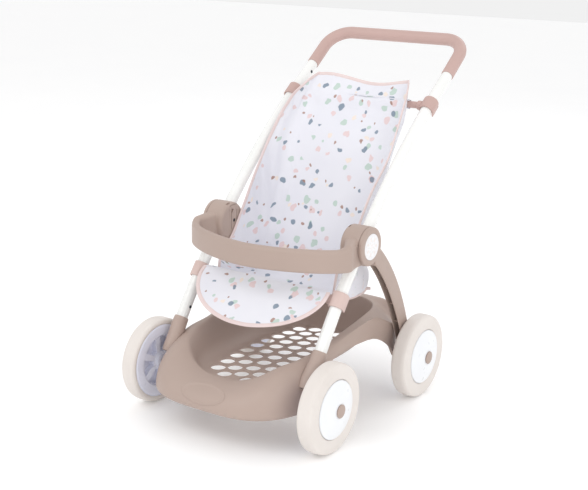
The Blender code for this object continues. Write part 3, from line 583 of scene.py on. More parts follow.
def handle():
    """Moulded U grip whose rounded feet sit on the tubes, with two spigots inside them."""
    ahead = Vector((0, math.cos(HANDLE_SLOPE), math.sin(HANDLE_SLOPE)))
    foot = tube_point(TUBE_TOP_Z)
    straight = HANDLE_REACH - HANDLE_BEND
    centre = foot + ahead * straight - Vector((HANDLE_BEND, 0, 0))
    half = [foot + ahead * straight * k / 10 for k in range(10)]
    for k in range(17):
        a = math.pi / 2 * k / 16
        half.append(centre + HANDLE_BEND * (math.cos(a) * Vector((1, 0, 0)) + math.sin(a) * ahead))
    half += [half[-1].lerp(Vector((0, half[-1].y, half[-1].z)), k / 8) for k in range(1, 8)]
    path = half + [Vector((-p.x, p.y, p.z)) for p in reversed(half)]
    normal = ahead.cross(Vector((1, 0, 0))).normalized()
    rings = sweep(path, [HANDLE_RADIUS] * len(path), 40, normal)
    lead = tube_frame(TUBE_TOP_Z - SPIGOT_LENGTH / 3).to_3x3() @ Vector((0, 0, 1))
    share = (TUBE_RADIUS - TUBE_WALL - 3 * GAP) / HANDLE_RADIUS
    ends = []
    for ring, start in ((rings[0], path[0]), (rings[-1], path[-1])):
        seat = [p + lead * ((start - p).dot(lead) + GAP) for p in ring]
        middle = start + lead * GAP
        soft = [middle + lead * 0.0008 + (p - middle) for p in seat]
        seat = [middle + (p - middle) * 0.93 for p in seat]
        collar = [middle + (p - middle) * (share / 0.93) for p in seat]
        tip = [middle - lead * SPIGOT_LENGTH + (p - middle) * 0.9 for p in collar]
        ends.append([tip, collar, seat, soft])
    loops = ends[0] + rings[1:-1] + ends[1][::-1]
    piece("push_grip", loft(loops), "rose_plastic", replaced=["push_handle"])


# ---------------------------------------------------------------- bumper and housings
def bumper_plan(inset, count):
    """Half of the band's plan curve, from the middle of the front to the +X housing."""
    half_width, depth = BUMPER_HALF_WIDTH - inset, BUMPER_DEPTH - inset
    arm_y = BOSS_Y - 0.0525
    points = []
    for k in range(count):
        a = math.pi / 2 * k / (count - 1)
        points.append(Vector((half_width * math.sin(a) ** 1.25, arm_y - depth * math.cos(a) ** 1.25, 0)))
    narrow = BARREL_OUTER_X - 0.0002 - 1.45 * inset
    return points + [Vector((narrow, BOSS_Y - 0.0315, 0)), Vector((narrow, BOSS_Y - 0.006, 0))]


def climbed(z, y):
    """Height z of the band's section at y: its upper half climbs along the arms."""
    climb = ARM_RISE * smoothstep(BOSS_Y - 0.070, BOSS_Y - 0.038, y)
    return z + climb * smoothstep(BUMPER_LOW + 0.012, BUMPER_HIGH - 0.008, z)


def bumper():
    soft, tight, wide = 0.0058, 0.0030, BUMPER_THICK
    section = []
    for across, z, radius, start, end in (
            (soft, BUMPER_HIGH - soft, soft, 180, 90), (wide - soft, BUMPER_HIGH - soft, soft, 90, 0),
            (wide - tight, BUMPER_LOW + tight, tight, 0, -90), (tight, BUMPER_LOW + tight, tight, -90, -180)):
        for k in range(6):
            a = math.radians(start + (end - start) * k / 5)
            section.append(((across + radius * math.cos(a)) / wide, z + radius * math.sin(a)))
    half = []
    for out, ins in zip(bumper_plan(0.0, 40), bumper_plan(wide, 40)):
        half.append([out.lerp(ins, share) + Vector((0, 0, climbed(z, out.y))) for share, z in section])
    other = [[Vector((-p.x, p.y, p.z)) for p in ring] for ring in half[:0:-1]]
    item = piece("bumper_moulding", loft(other + half), "taupe_plastic", replaced=["bumper_bar"])
    edge = 0.0060
    rows = [(BARREL_OUTER_X, BARREL_RADIUS), *quarter(BARREL_INNER_X + edge, BARREL_RADIUS, -edge, edge, 7, 0)]
    drums = []
    for _, side in SIDES:
        drums.append(at_boss(disc(rows, 72), side))
    boolean(item, joined(drums), "UNION")
    modify(item, "REMESH", mode="VOXEL", voxel_size=0.00085)
    modify(item, "SMOOTH", factor=0.5, iterations=9)
    bake(item)
    cuts = []
    for _, side in SIDES:
        cuts.append(tube_bore(BOSS_Z - 0.06, BOSS_Z + 0.06, 9, side))
        corners = ((-0.0012, 0.002), (0.002, 0.002), (0.002, -0.0009), (-0.0003, -0.0009))
        seam = turned([(BARREL_OUTER_X + x, BARREL_RADIUS + r) for x, r in corners], 72)
        cuts.append(at_boss(seam, side))
    boolean(item, joined(cuts), sharp=50)
    pocket = rounded(cover_outline(0.0009), 0.002)
    notch = [(-0.0046, 0.0235), (0.0010, 0.0275), (0.0010, 0.034), (-0.010, 0.034)]
    for outline, low, high, y in ((pocket, -0.002, COVER_DEPTH, 0.0), (notch, 0.0030, 0.0062, -0.004)):
        cuts = [at_boss(prism(outline, BARREL_INNER_X + low, BARREL_INNER_X + high), side, y)
                for _, side in SIDES]
        boolean(item, joined(cuts), sharp=50)


def cover_outline(grow=0.0):
    """(y, z) outline of the inner cover, about the housing's axis."""
    half, low, high, middle = 0.0130 + grow, -0.0285 - grow, 0.0262 + grow, 0.0050
    return [(middle - half, low + 0.006), (middle - half + 0.004, low + 0.001), (middle, low),
            (middle + half - 0.004, low + 0.001), (middle + half, low + 0.006),
            (middle + half, high - 0.006), (middle + half - 0.004, high - 0.001), (middle, high),
            (middle - half + 0.004, high - 0.001), (middle - half, high - 0.006)]


def cross_recess(x_low, x_high, size):
    """A cross-shaped driver recess, as a cutter."""
    arms = []
    for wide, tall in ((size, size * 0.28), (size * 0.28, size)):
        arms.append(prism([(-wide, -tall), (wide, -tall), (wide, tall), (-wide, tall)], x_low, x_high))
    return arms


def housing_covers():
    low = BARREL_INNER_X + 0.0004
    for label, side in SIDES:
        plate = prism(rounded(cover_outline(), 0.0022), low, BARREL_INNER_X + COVER_DEPTH - GAP)
        item = piece("inner_cover_" + label, at_boss(plate, side), "taupe_plastic",
                     replaced=["housing_cover_" + label])
        modify(item, "BEVEL", width=0.0005, segments=2, limit_method="ANGLE")
        bake(item)
        tongue_low, tongue_high = -0.0030, -0.0016
        cuts = [moved(rod(low - 0.001, low + 0.0017, 0.0031, 28), (0, SCREW_Y, 0)),
                prism([(tongue_low, -0.014), (tongue_high, -0.014), (tongue_high, 0.012), (0.0034, 0.0185),
                       (tongue_low, 0.0205)], low - 0.001, low + 0.0026),
                prism([(0.0110, -0.016), (0.0124, -0.016), (0.0124, 0.017), (0.0110, 0.017)],
                      low - 0.001, low + 0.0022)]
        boolean(item, joined([at_boss(c, side) for c in cuts]), sharp=45)
        head = rod(low + 0.0004, low + 0.0014, 0.0026, 28, 0.0004)
        screw = piece("cover_screw_" + label, at_boss(head, side, SCREW_Y), "dark_steel",
                      replaced=["housing_screw_" + label])
        for arm in cross_recess(low - 0.001, low + 0.0010, 0.0016):
            boolean(screw, at_boss(arm, side, SCREW_Y))


# ---------------------------------------------------------------- rear legs
def relative(points):
    return [(y + FRONT_Y, z) for y, z in points]


def bezier(a, b, c, d, count):
    points = []
    for k in range(count):
        t = k / (count - 1)
        weights = ((1 - t) ** 3, 3 * (1 - t) ** 2 * t, 3 * (1 - t) * t * t, t ** 3)
        points.append(tuple(sum(w * p[i] for w, p in zip(weights, (a, b, c, d))) for i in range(2)))
    return points


def leg_curves(count=36):
    back = relative(bezier((0.150, 0.280), (0.208, 0.235), (0.248, 0.170), (0.2755, 0.078), count))
    front = relative(bezier((0.145, 0.250), (0.185, 0.215), (0.220, 0.160), (0.2535, 0.080), count))
    return back, front


def rear_legs():
    back, front = leg_curves()
    heel = []
    for k in range(1, 16):
        a = math.radians(22 - 202 * k / 16)
        heel.append((REAR_Y + 0.0110 * math.cos(a), WHEEL_RADIUS + 0.0110 * math.sin(a)))
    outline = back + heel + front[::-1]
    inset = [(y - 0.0030, z - 0.0015) for y, z in back[3:-2]]
    ahead = [(y - 0.010, z - 0.004) for y, z in front[3:-2]]
    for label, side in SIDES:
        shape = prism(outline, LEG_INNER_X, LEG_OUTER_X)
        item = piece("leg_moulding_" + label, mirrored(shape, side), "taupe_plastic",
                     replaced=["rear_leg_" + label])
        modify(item, "BEVEL", width=0.0011, segments=3, limit_method="ANGLE", angle_limit=math.radians(50))
        bake(item)
        clear = rod(LEG_INNER_X - 0.001, BARREL_OUTER_X + GAP, BARREL_RADIUS + 0.0006, 72)
        boolean(item, at_boss(clear, side))
        rows = [(BARREL_OUTER_X + GAP, DISC_RADIUS - 0.0008), (BARREL_OUTER_X + 0.0010, DISC_RADIUS)]
        rows += quarter(LEG_OUTER_X - 0.0021, DISC_RADIUS, 0.0025, 0.0028, 5, 0)
        boolean(item, at_boss(disc(rows, 72), side), "UNION")
        seat = moved(rod(LEG_OUTER_X - 0.0012, LEG_OUTER_X + 0.002, MEDALLION_RADIUS + GAP, 64),
                     (0, BOSS_Y, BOSS_Z))
        channel = prism(inset + ahead[::-1], LEG_INNER_X + 0.0016, LEG_OUTER_X - 0.0020)
        bore = rod(LEG_INNER_X - 0.002, LEG_OUTER_X + 0.002, PIN_RADIUS + GAP, 28)
        bore = moved(bore, (0, REAR_Y, WHEEL_RADIUS))
        boolean(item, mirrored(joined([seat, bore]), side))
        boolean(item, mirrored(channel, side), sharp=45)
        ribs = []
        for spot in (9, 15, 21, 27):
            y, z = back[spot]
            y2, z2 = front[spot]
            along = Vector((back[spot + 1][0] - y, back[spot + 1][1] - z)).normalized() * 0.0006
            start = Vector((y, z)).lerp(Vector((y2, z2)), 0.12)
            end = Vector((y, z)).lerp(Vector((y2, z2)), 0.80)
            corners = [start - along, start + along, end + along, end - along]
            ribs.append(prism([tuple(c) for c in corners], LEG_INNER_X + 0.0018, LEG_OUTER_X - 0.0018))
        piece("leg_ribs_" + label, mirrored(joined(ribs), side), "taupe_plastic")


def medallions():
    for label, side in SIDES:
        low = LEG_OUTER_X - 0.0009
        rows = [(low, MEDALLION_RADIUS - 0.0004), (low + 0.0004, MEDALLION_RADIUS),
                (low + 0.0011, MEDALLION_RADIUS)]
        rows += quarter(low + 0.0011, MEDALLION_RADIUS, 0.0007, 0.0011, 4)
        rows += [(low + 0.0018, 0.0185), (low + 0.0015, 0.0180), (low + 0.0015, 0.010), (low + 0.0015, 0.002)]
        shape = disc(rows, 72)
        name = "boss_disc_" + label
        item = piece("print_" + name, at_boss(shape, side), "print_disc", replaced=[name])
        flat = item.data.attributes.new("disc", "FLOAT_VECTOR", "POINT")
        for vertex, value in zip(item.data.vertices, flat.data):
            value.vector = (vertex.co.y - BOSS_Y, vertex.co.z - BOSS_Z, 0)


# ---------------------------------------------------------------- front sockets
SOCKET_ROWS = ((0.1390, 0.0000, 0.0117, 0.0117), (0.1270, 0.0000, 0.0119, 0.0119),
               (0.1150, -0.0010, 0.0128, 0.0128), (0.1030, -0.0024, 0.0140, 0.0144),
               (0.0945, -0.0030, 0.0146, 0.0154), (0.0895, -0.0030, 0.0138, 0.0146))


def socket_shape(grow=0.0):
    """A sleeve round the tube foot that swells downwards and ends blunt inside the tray's corner."""
    rows = [tuple(v) for v in curve_4d(SOCKET_ROWS, 25)]
    rows[0] = (rows[0][0], rows[0][1], rows[0][2] - 0.0005, rows[0][3] - 0.0005)
    loops = []
    for z, inward, half_x, half_y in rows:
        place = tube_frame(z)
        ring = []
        for k in range(56):
            a = 2 * math.pi * k / 56
            x, y = inward + (half_x + grow) * math.cos(a), (half_y + grow) * math.sin(a)
            ring.append(place @ Vector((x, y, 0)))
        loops.append(ring)
    if grow:
        loops[0] = [p + Vector((0, 0.7, 0.7)) * grow for p in loops[0]]
        loops[-1] = [p - Vector((0, 0, grow)) for p in loops[-1]]
    return loft(loops)


def curve_4d(rows, count):
    """Smooth interpolation of rows of numbers, keyed by the first."""
    keys = np.array([r[0] for r in rows])[::-1]
    values = np.array(rows)[::-1]
    out = []
    for k in range(count):
        key = keys[-1] + (keys[0] - keys[-1]) * k / (count - 1)
        i = int(min(max(np.searchsorted(keys, key) - 1, 0), len(keys) - 2))
        t = (key - keys[i]) / (keys[i + 1] - keys[i])
        row = between(values[max(i - 1, 0)], values[i], values[i + 1], values[min(i + 2, len(keys) - 1)], t)
        row[0] = key
        out.append(row)
    return out


def front_sockets():
    for label, side in SIDES:
        name = "front_socket_" + label
        item = piece("foot_" + name, mirrored(socket_shape(), side), "taupe_plastic", replaced=[name])
        boolean(item, tube_bore(TUBE_FOOT_Z - GAP, 0.150, 7, side), sharp=45)


# ---------------------------------------------------------------- base tray
TRAY_POINTS = 112
TRAY_HALF_WIDTH, FLOOR_HALF_WIDTH, CREST_HALF_WIDTH = 0.1240, 0.0700, 0.1085
TRAY_WALL, FLOOR_Z = 0.0026, 0.0795
FENDER_WIDTH, HAUNCH_WIDTH = 0.0160, 0.0126     # how far the front and rear corners stand out
SKIRT_Z, ARCH_Z, BACK_ARCH_Z = 0.0550, 0.1175, 0.0840
NOSE_LIFT, LIP_TURN = 0.0060, 0.0065    # rise of the nose's outer wall, and how far it turns in below
HOLE_RADIUS, HOLE_PITCH, HOLE_ROW = 0.0120, 0.0265, 0.0304
PLAQUE_HALF_WIDTH, PLAQUE_HALF_HEIGHT = 0.0400, 0.0175
REAR_RIM_Z, FRONT_RIM_Z = 0.1500, 0.0900
MIDDLE_Y = FRONT_Y + 0.105


def fender(y):
    """Half width gained at y: all four corners reach out towards the wheels."""
    front = FENDER_WIDTH * smoothstep(FRONT_Y + 0.085, FRONT_Y + 0.015, y)
    return front + HAUNCH_WIDTH * smoothstep(FRONT_Y + 0.185, FRONT_Y + 0.245, y)


def plan_loop(half_width, front_y, rear_y, front_power, rear_power, height, widened=False):
    """A closed plan curve about the tray's middle; height gives z from a point."""
    loop = []
    for k in range(TRAY_POINTS):
        a = 2 * math.pi * k / TRAY_POINTS
        s, c = math.sin(a), math.cos(a)
        power = front_power if c > 0 else rear_power
        reach = MIDDLE_Y - front_y if c > 0 else rear_y - MIDDLE_Y
        y = MIDDLE_Y - math.copysign(reach * abs(c) ** (2 / power), c)
        width = half_width + fender(y) if widened else half_width
        x = width * math.copysign(abs(s) ** (2 / power), s)
        loop.append(Vector((x, y, height(Vector((x, y, 0))))))
    return loop


def rim_height(point):
    """The rim is level at the back, falls evenly along the sides and dips across the nose."""
    reach = FRONT_Y + 0.205 - point.y
    sides = 0.5 * 0.5 * (reach + math.sqrt(reach * reach + 0.0003)) / 0.215
    middle = max(1 - (point.x / 0.090) ** 2, 0.0)
    dip = 0.45 * middle * smoothstep(FRONT_Y + 0.020, FRONT_Y - 0.035, point.y)
    return REAR_RIM_Z - (REAR_RIM_Z - FRONT_RIM_Z) * min(sides + dip, 1.0)


def skirt_height(point):
    """Lower edge of the walls: an arch between the axles and a flatter one across the back."""
    middle = FRONT_Y + 0.137
    front = point.y < middle
    reach = min(abs(point.y - middle) / (0.142 if front else 0.121), 1.0)
    side = ARCH_Z - (ARCH_Z - SKIRT_Z) * reach ** (3.8 if front else 3.2)
    across = smoothstep(0.117, 0.090, abs(point.x)) * smoothstep(middle, middle + 0.060, point.y)
    return side + max(BACK_ARCH_Z - side, 0.0) * across


def lip(point, turn):
    """The last bend of the wall below the skirt line; it turns inward under the nose."""
    nose = smoothstep(FRONT_Y + 0.060, FRONT_Y, point.y)
    inward = Vector((-point.x, MIDDLE_Y - point.y, 0)).normalized()
    swing = math.pi / 2 * turn
    drop = NOSE_LIFT * nose * math.sin(swing) + 0.0010 * turn
    return point + inward * LIP_TURN * nose * (1 - math.cos(swing)) - Vector((0, 0, drop))


def shoulder_height(point):
    """Upper edge of the upright rear walls: it falls along the sides and stays high across the back."""
    along = 0.60 * max(point.y - FRONT_Y - 0.200, 0.0)
    return REAR_RIM_Z - 0.0030 - along * smoothstep(0.083, TRAY_HALF_WIDTH, abs(point.x)) ** 2


def outer_share(t, crest, skirt):
    """(outward, downward) share at t of the way over the outside, from the rim to the lower edge."""
    front = (math.sin(math.pi / 2 * t), 1 - math.cos(math.pi / 2 * t))
    drop = (crest.z - shoulder_height(skirt)) / (crest.z - skirt.z)
    if t < 0.5:
        rear = (1 - (1 - 2 * t) ** 1.5, drop * 2 * t)
    else:
        rear = (1.0, drop + (1 - drop) * (2 * t - 1))
    blend = smoothstep(FRONT_Y + 0.080, FRONT_Y + 0.170, skirt.y)
    return (front[0] + (rear[0] - front[0]) * blend, front[1] + (rear[1] - front[1]) * blend)


def tray_loops():
    floor = plan_loop(FLOOR_HALF_WIDTH, FRONT_Y - 0.027, FRONT_Y + 0.262, 2.6, 3.2, lambda point: FLOOR_Z)
    crest = plan_loop(CREST_HALF_WIDTH, FRONT_Y - 0.042, FRONT_Y + 0.267, 3.2, 4.5, rim_height)
    skirt = plan_loop(TRAY_HALF_WIDTH, FRONT_Y - 0.097, REAR_Y + 0.018, 3.3, 7.0, skirt_height, widened=True)
    for point in skirt:
        point.z += NOSE_LIFT * smoothstep(FRONT_Y + 0.060, FRONT_Y, point.y)
    centre = Vector((0, MIDDLE_Y, FLOOR_Z))
    loops = [[centre.lerp(p, share) for p in floor] for share in (0.30, 0.65, 0.90, 0.975)]
    wall = ((0.02, 0.003), (0.17, 0.020), (0.30, 0.07), (0.42, 0.16), (0.52, 0.28), (0.60, 0.43), (0.68, 0.60),
            (0.76, 0.76), (0.84, 0.88), (0.92, 0.96), (1.0, 1.0))
    steep = ((0.02, 0.003), (0.18, 0.020), (0.34, 0.07), (0.49, 0.14), (0.62, 0.24), (0.74, 0.39), (0.84, 0.56),
             (0.90, 0.73), (0.945, 0.87), (0.975, 0.955), (1.0, 1.0))
    for (out, up), (rear_out, rear_up) in zip(wall, steep):
        ring = []
        for f, c in zip(floor, crest):
            blend = smoothstep(FRONT_Y + 0.050, FRONT_Y + 0.150, c.y)
            share, rise = out + (rear_out - out) * blend, up + (rear_up - up) * blend
            ring.append(Vector((*f.xy.lerp(c.xy, share), f.z + (c.z - f.z) * rise)))
        loops.append(ring)
    for t in (0.04, 0.10, 0.2, 0.3, 0.4, 0.46, 0.5, 0.54, 0.62, 0.72, 0.82, 0.92, 1.0):
        ring = []
        for c, s in zip(crest, skirt):
            out, up = outer_share(t, c, s)
            ring.append(Vector((*c.xy.lerp(s.xy, out), c.z + (s.z - c.z) * up)))
        loops.append(ring)
    loops += [[lip(point, turn) for point in skirt] for turn in (0.3, 0.6, 0.85, 1.0)]
    return loops


def floor_holes(segments=36):
    """Cylinders in staggered rows; the outer columns draw in towards both ends of the oval floor."""
    shape = bmesh.new()
    for i in range(-2, 3):
        for j in range(10):
            row = j - 0.5 * (i % 2)
            y = 0.0100 + HOLE_ROW * row - 0.00028 * row * row
            x = i * HOLE_PITCH * (1.04 - 0.15 * ((y - 0.120) / 0.100) ** 2)
            if y < 0.249:
                place = Matrix.Translation((x, FRONT_Y + y, FLOOR_Z))
                bmesh.ops.create_cone(shape, cap_ends=True, segments=segments, radius1=HOLE_RADIUS,
                                      radius2=HOLE_RADIUS, depth=0.030, matrix=place)
    return shape


def base_tray():
    shape = loft(tray_loops(), caps=False)
    shape.verts.ensure_lookup_table()
    shape.faces.new([shape.verts[k] for k in range(TRAY_POINTS)])
    mesh = mesh_of(shape, "tray_moulding")
    floor = max(mesh.polygons, key=lambda p: len(p.vertices))
    if floor.normal.z < 0:
        mesh.flip_normals()
    item = piece("tray_moulding", mesh, "taupe_plastic", replaced=["base_tray"])
    modify(item, "SUBSURF", levels=1, render_levels=1)
    modify(item, "SOLIDIFY", thickness=TRAY_WALL, offset=-1.0, use_even_offset=False)
    bake(item)
    boolean(item, plaque(item), sharp=45)
    boolean(item, floor_holes(), sharp=45)
    for y in (FRONT_Y, REAR_Y):
        boolean(item, moved(rod(-0.150, 0.150, PIN_RADIUS + GAP, 24), (0, y, WHEEL_RADIUS)))
    for _, side in SIDES:
        boolean(item, mirrored(socket_shape(grow=0.0004), side), sharp=45)


def plaque(tray):
    """Blank oval badge let into the nose, slightly dished. Returns the cutter of its seat."""
    tree = BVHTree.FromObject(tray, bpy.context.evaluated_depsgraph_get())
    centre = Vector((0.0, FRONT_Y - 0.080, 0.0745))
    ahead = Vector((0, -0.80, 0.60)).normalized()
    up = Vector((1, 0, 0)).cross(ahead) * -1
    if up.z < 0:
        up = -up
    segments = 96

    def oval(share, lift):
        ring = []
        for k in range(segments):
            a = 2 * math.pi * k / segments
            spot = centre + Vector((1, 0, 0)) * PLAQUE_HALF_WIDTH * share * math.cos(a)
            spot += up * PLAQUE_HALF_HEIGHT * share * math.sin(a)
            hit, normal, _, _ = tree.ray_cast(spot + ahead * 0.05, -ahead)
            ring.append(hit + normal * lift)
        return ring

    rows = ((0.20, -0.0014), (0.45, -0.0014), (0.70, -0.0014), (0.80, -0.0014), (0.86, -0.0012),
            (0.91, -0.0006), (0.95, 0.0000), (0.98, 0.0003), (0.992, 0.0002), (0.996, -0.0003), (0.996, -0.0018))
    piece("nose_plaque", loft([oval(*row) for row in rows]), "taupe_plastic", sharp=60)
    seat_rows = [(share, -0.0019) for share in (0.30, 0.70, 1.0)]
    return loft([oval(*row) for row in seat_rows + [(share, 0.0020) for share in (1.0, 0.70, 0.30)]])


# ---------------------------------------------------------------- crossbars and clips
def crossbars():
    for place, z in (("upper", UPPER_BAR_Z), ("lower", LOWER_BAR_Z)):
        spot = tube_point(z)
        half = TUBE_X - TUBE_RADIUS - 0.0060
        shape = moved(rod(-half, half, BAR_RADIUS, 36, 0.0006), (0, spot.y, spot.z))
        piece(place + "_bar", shape, "rose_plastic", replaced=[place + "_crossbar"])


def clip_ring(length):
    """An open strap round the tube with out-turned lips, and its opening towards the rear."""
    inner = TUBE_RADIUS + 2 * GAP
    start, turn, steps = math.radians(122), math.radians(290), 60
    path = []
    for k in range(steps + 1):
        a = start + turn * k / steps
        lip = max(smoothstep(0.07, 0.0, k / steps), smoothstep(0.93, 1.0, k / steps))
        path.append((inner + 0.0022 * lip, a))
    loops = []
    for radius, a in path:
        c, s = math.cos(a), math.sin(a)
        outer = radius + CLIP_WALL
        ring = rounded([(radius, -length / 2), (outer, -length / 2), (outer, length / 2), (radius, length / 2)],
                       0.0007, 3)
        loops.append([Vector((r * c, r * s, z)) for r, z in ring])
    return loft(loops)


def clips():
    for place, z, length, finish in (("upper", UPPER_BAR_Z, 0.023, "rose_plastic"),
                                     ("lower", LOWER_BAR_Z, 0.0245, "pale_rose_plastic")):
        for label, side in SIDES:
            shape = clip_ring(length)
            bmesh.ops.transform(shape, matrix=tube_frame(z), verts=shape.verts)
            name = place + "_clip_" + label
            item = piece("strap_" + name, mirrored(shape, side), finish, replaced=[name])
            spot = tube_point(z)
            low = TUBE_X - TUBE_RADIUS
            cup = moved(rod(low - 0.0092, low - 0.0010, BAR_RADIUS + 0.0022, 40, 0.0008), (0, spot.y, spot.z))
            boolean(item, mirrored(cup, side), "UNION")
            bore = moved(rod(low - 0.0120, low - 0.0055, BAR_RADIUS + GAP, 36), (0, spot.y, spot.z))
            boolean(item, mirrored(bore, side), sharp=45)


# ---------------------------------------------------------------- wheels
def arc(centre_x, centre_r, radius, start, end, steps):
    out = []
    for k in range(steps + 1):
        a = math.radians(start + (end - start) * k / steps)
        out.append((centre_x + radius * math.cos(a), centre_r + radius * math.sin(a)))
    return out


def tyre_shape():
    half, out = WHEEL_WIDTH / 2, WHEEL_RADIUS
    profile = [(half - 0.0045, 0.0452), (half - 0.0006, 0.0450)]
    profile += arc(half - 0.0020, 0.0470, 0.0018, -60, 0, 4)
    profile += [(half - 0.0001, 0.0530)]
    profile += arc(half - 0.0052, out - 0.0056, 0.0052, 10, 62, 6)
    profile += arc(half - 0.0085, out - 0.0120, 0.0120, 76, 90, 3)
    profile += arc(-half + 0.0060, out - 0.0060, 0.0060, 90, 180, 8)
    profile += [(-half + 0.0014, 0.0591), (half - 0.0045, 0.0591)]
    return turned(profile, 120)


def body_shape():
    half = WHEEL_WIDTH / 2
    bore, hub = PIN_RADIUS + GAP, 0.0105
    profile = [(half + 0.0045, bore), (half + 0.0045, hub), (half - 0.0048, hub), (half - 0.0048, 0.0585),
               (-half + 0.0014, 0.0590)]
    profile += arc(-half + 0.0030, 0.0560, 0.0030, 115, 180, 6)
    profile += [(-half + 0.0001, 0.0500)]
    profile += arc(-half + 0.0030, 0.0440, 0.0030, 180, 250, 6)
    profile += [(-half + 0.0058, 0.0402), (-half + 0.0040, 0.0375), (-half + 0.0045, 0.0250),
                (-half + 0.0040, hub + 0.0030), (-half + 0.0015, hub + 0.0006), (-half - 0.0009, hub),
                (-half - 0.0015, hub - 0.0008), (-half - 0.0015, bore)]
    return turned(profile, 96)


def pocket_shapes():
    """Six rounded pockets between the spokes on the wheel's inner side."""
    half, shapes = WHEEL_WIDTH / 2, []
    for k in range(6):
        middle = math.radians(60 * k + 30)
        corners = []
        for radius, spread in ((0.0385, -22), (0.0385, 22), (0.0150, 15), (0.0150, -15)):
            corners.append((radius, math.radians(spread)))
        outline = []
        for (r0, a0), (r1, a1) in zip(corners, corners[1:] + corners[:1]):
            for j in range(6):
                t = j / 6
                r, a = r0 + (r1 - r0) * t, a0 + (a1 - a0) * t
                outline.append((r * math.cos(middle + a), r * math.sin(middle + a)))
        soft = rounded(outline, 0.0030, 2)
        shapes.append(loft([[(x, y, z) for y, z in soft] for x in (-half - 0.003, -half + 0.0130)]))
    return shapes


def cover_shape():
    half = WHEEL_WIDTH / 2
    rows = [(half - 0.0012, 0.0444), (half - 0.0002, 0.0444), (half + 0.0008, 0.0438), (half + 0.0012, 0.0425)]
    edge, eye, dome = 0.0425, 0.0120, 2.2
    for k in range(1, 10):
        r = edge - (edge - eye) * k / 9
        rows.append((half + 0.0012 + 0.0062 * (1 - (r / edge) ** dome) / (1 - (eye / edge) ** dome), r))
    rows += [(half + 0.0074, 0.0112), (half + 0.0070, 0.0108), (half + 0.0070, 0.0048)]
    back = [(half + 0.0050, 0.0048), (half + 0.0050, 0.0130), (half + 0.0026, 0.0300), (half - 0.0012, 0.0405)]
    return turned(rows + back, 112)


def cap_shape():
    half = WHEEL_WIDTH / 2
    rows = [(half + 0.0074, 0.0100), (half + 0.0088, 0.0103),
            *quarter(half + 0.0088, 0.0103, 0.0009, 0.0016, 6), (half + 0.0097, 0.0060), (half + 0.0097, 0.0020)]
    return disc(rows, 64)


def wheels():
    body_item = piece("wheel_template", body_shape(), "white_plastic")
    boolean(body_item, joined(pocket_shapes()), sharp=40)
    body_mesh = body_item.data
    bpy.data.objects.remove(body_item)
    # The wheel bodies take the darker white finish, which is painted shade on the covers' white plastic.
    meshes = {"tyre_": (mesh_of(tyre_shape(), "tyre"), "cream_tyre"), "wheel_body_": (body_mesh, "wheel_white"),
              "wheel_cover_": (mesh_of(cover_shape(), "cover"), "white_plastic"),
              "hub_cap_": (mesh_of(cap_shape(), "cap"), "taupe_plastic")}
    for place, y in (("front", FRONT_Y), ("rear", REAR_Y)):
        for label, side in SIDES:
            name = place + "_" + label
            turn = Matrix.Rotation(math.radians(23 if place == "front" else 41), 4, "X")
            put = Matrix.Translation((side * WHEEL_X, y, WHEEL_RADIUS))
            if side < 0:
                put = put @ Matrix.Rotation(math.pi, 4, "Z")
            for start, (mesh, finish) in meshes.items():
                own = mesh.copy()
                own.transform(put @ turn)
                piece("turning_" + start + name, own, finish, "wheel_" + name, [start + name])


def axles():
    """Four short pins, each held by the tray's wall and running through a wheel."""
    for place, y in (("front", FRONT_Y), ("rear", REAR_Y)):
        for label, side in SIDES:
            pin = rod(0.1240, WHEEL_X + WHEEL_WIDTH / 2 + 0.0068, PIN_RADIUS, 32, 0.0006)
            name = place + "_pin_" + label
            piece("steel_" + name, mirrored(moved(pin, (0, y, WHEEL_RADIUS)), side), "steel", replaced=[name])


# ---------------------------------------------------------------- fabric
CLOTH = 0.0011
SEAT_SECTIONS = (  # rear fold (half width, y, z) and front edge (x, y, z), y from the front axle
    (0.0850, 0.3500, 0.4985, 0.0880, 0.3455, 0.5000),
    (0.0930, 0.3385, 0.4868, 0.0985, 0.3220, 0.4890),
    (0.1015, 0.3232, 0.4700, 0.1062, 0.2955, 0.4740),
    (0.1075, 0.3115, 0.4500, 0.1105, 0.2780, 0.4555),
    (0.1105, 0.3010, 0.4360, 0.1135, 0.2630, 0.4380),
    (0.1085, 0.2780, 0.3980, 0.1166, 0.2320, 0.3960),
    (0.1060, 0.2585, 0.3450, 0.1118, 0.1880, 0.3450),
    (0.1045, 0.2410, 0.3000, 0.1106, 0.1575, 0.3000),
    (0.1045, 0.2210, 0.2560, 0.1100, 0.1260, 0.2560),
    (0.1045, 0.2090, 0.2250, 0.1100, 0.1060, 0.2440),
    (0.1050, 0.2065, 0.2010, 0.1100, 0.1005, 0.2415),
    (0.1055, 0.1985, 0.1885, 0.1100, 0.0985, 0.2380),
    (0.1060, 0.1810, 0.1850, 0.1100, 0.0970, 0.2330),
    (0.1060, 0.1500, 0.1860, 0.1100, 0.0950, 0.2260),
    (0.1055, 0.1200, 0.1940, 0.1100, 0.0935, 0.2190),
    (0.1045, 0.0930, 0.2010, 0.1100, 0.0920, 0.2110))
PANEL, CORNER, WING = 22, 6, 13         # columns of the cloth grid from the middle to the front edge
SEAT_ROWS = 108


def interpolated(rows, count):
    """Smooth rows of numbers through the given ones, evenly spaced along their rear fold."""
    values = [np.array(r, float) for r in rows]
    values = [2 * values[0] - values[1], *values, 2 * values[-1] - values[-2]]
    fine = []
    for i in range(1, len(values) - 2):
        fine += [between(*values[i - 1:i + 3], k / 20) for k in range(20)]
    fine.append(values[-2])
    reach = [0.0]
    for a, b in zip(fine, fine[1:]):
        reach.append(reach[-1] + math.hypot(*(b - a)[1:3]) + 0.25 * math.hypot(*(b - a)[3:6]))
    marks = np.linspace(0, reach[-1], count)
    table = np.array(fine)
    return np.stack([np.interp(marks, reach, table[:, j]) for j in range(table.shape[1])], axis=1)


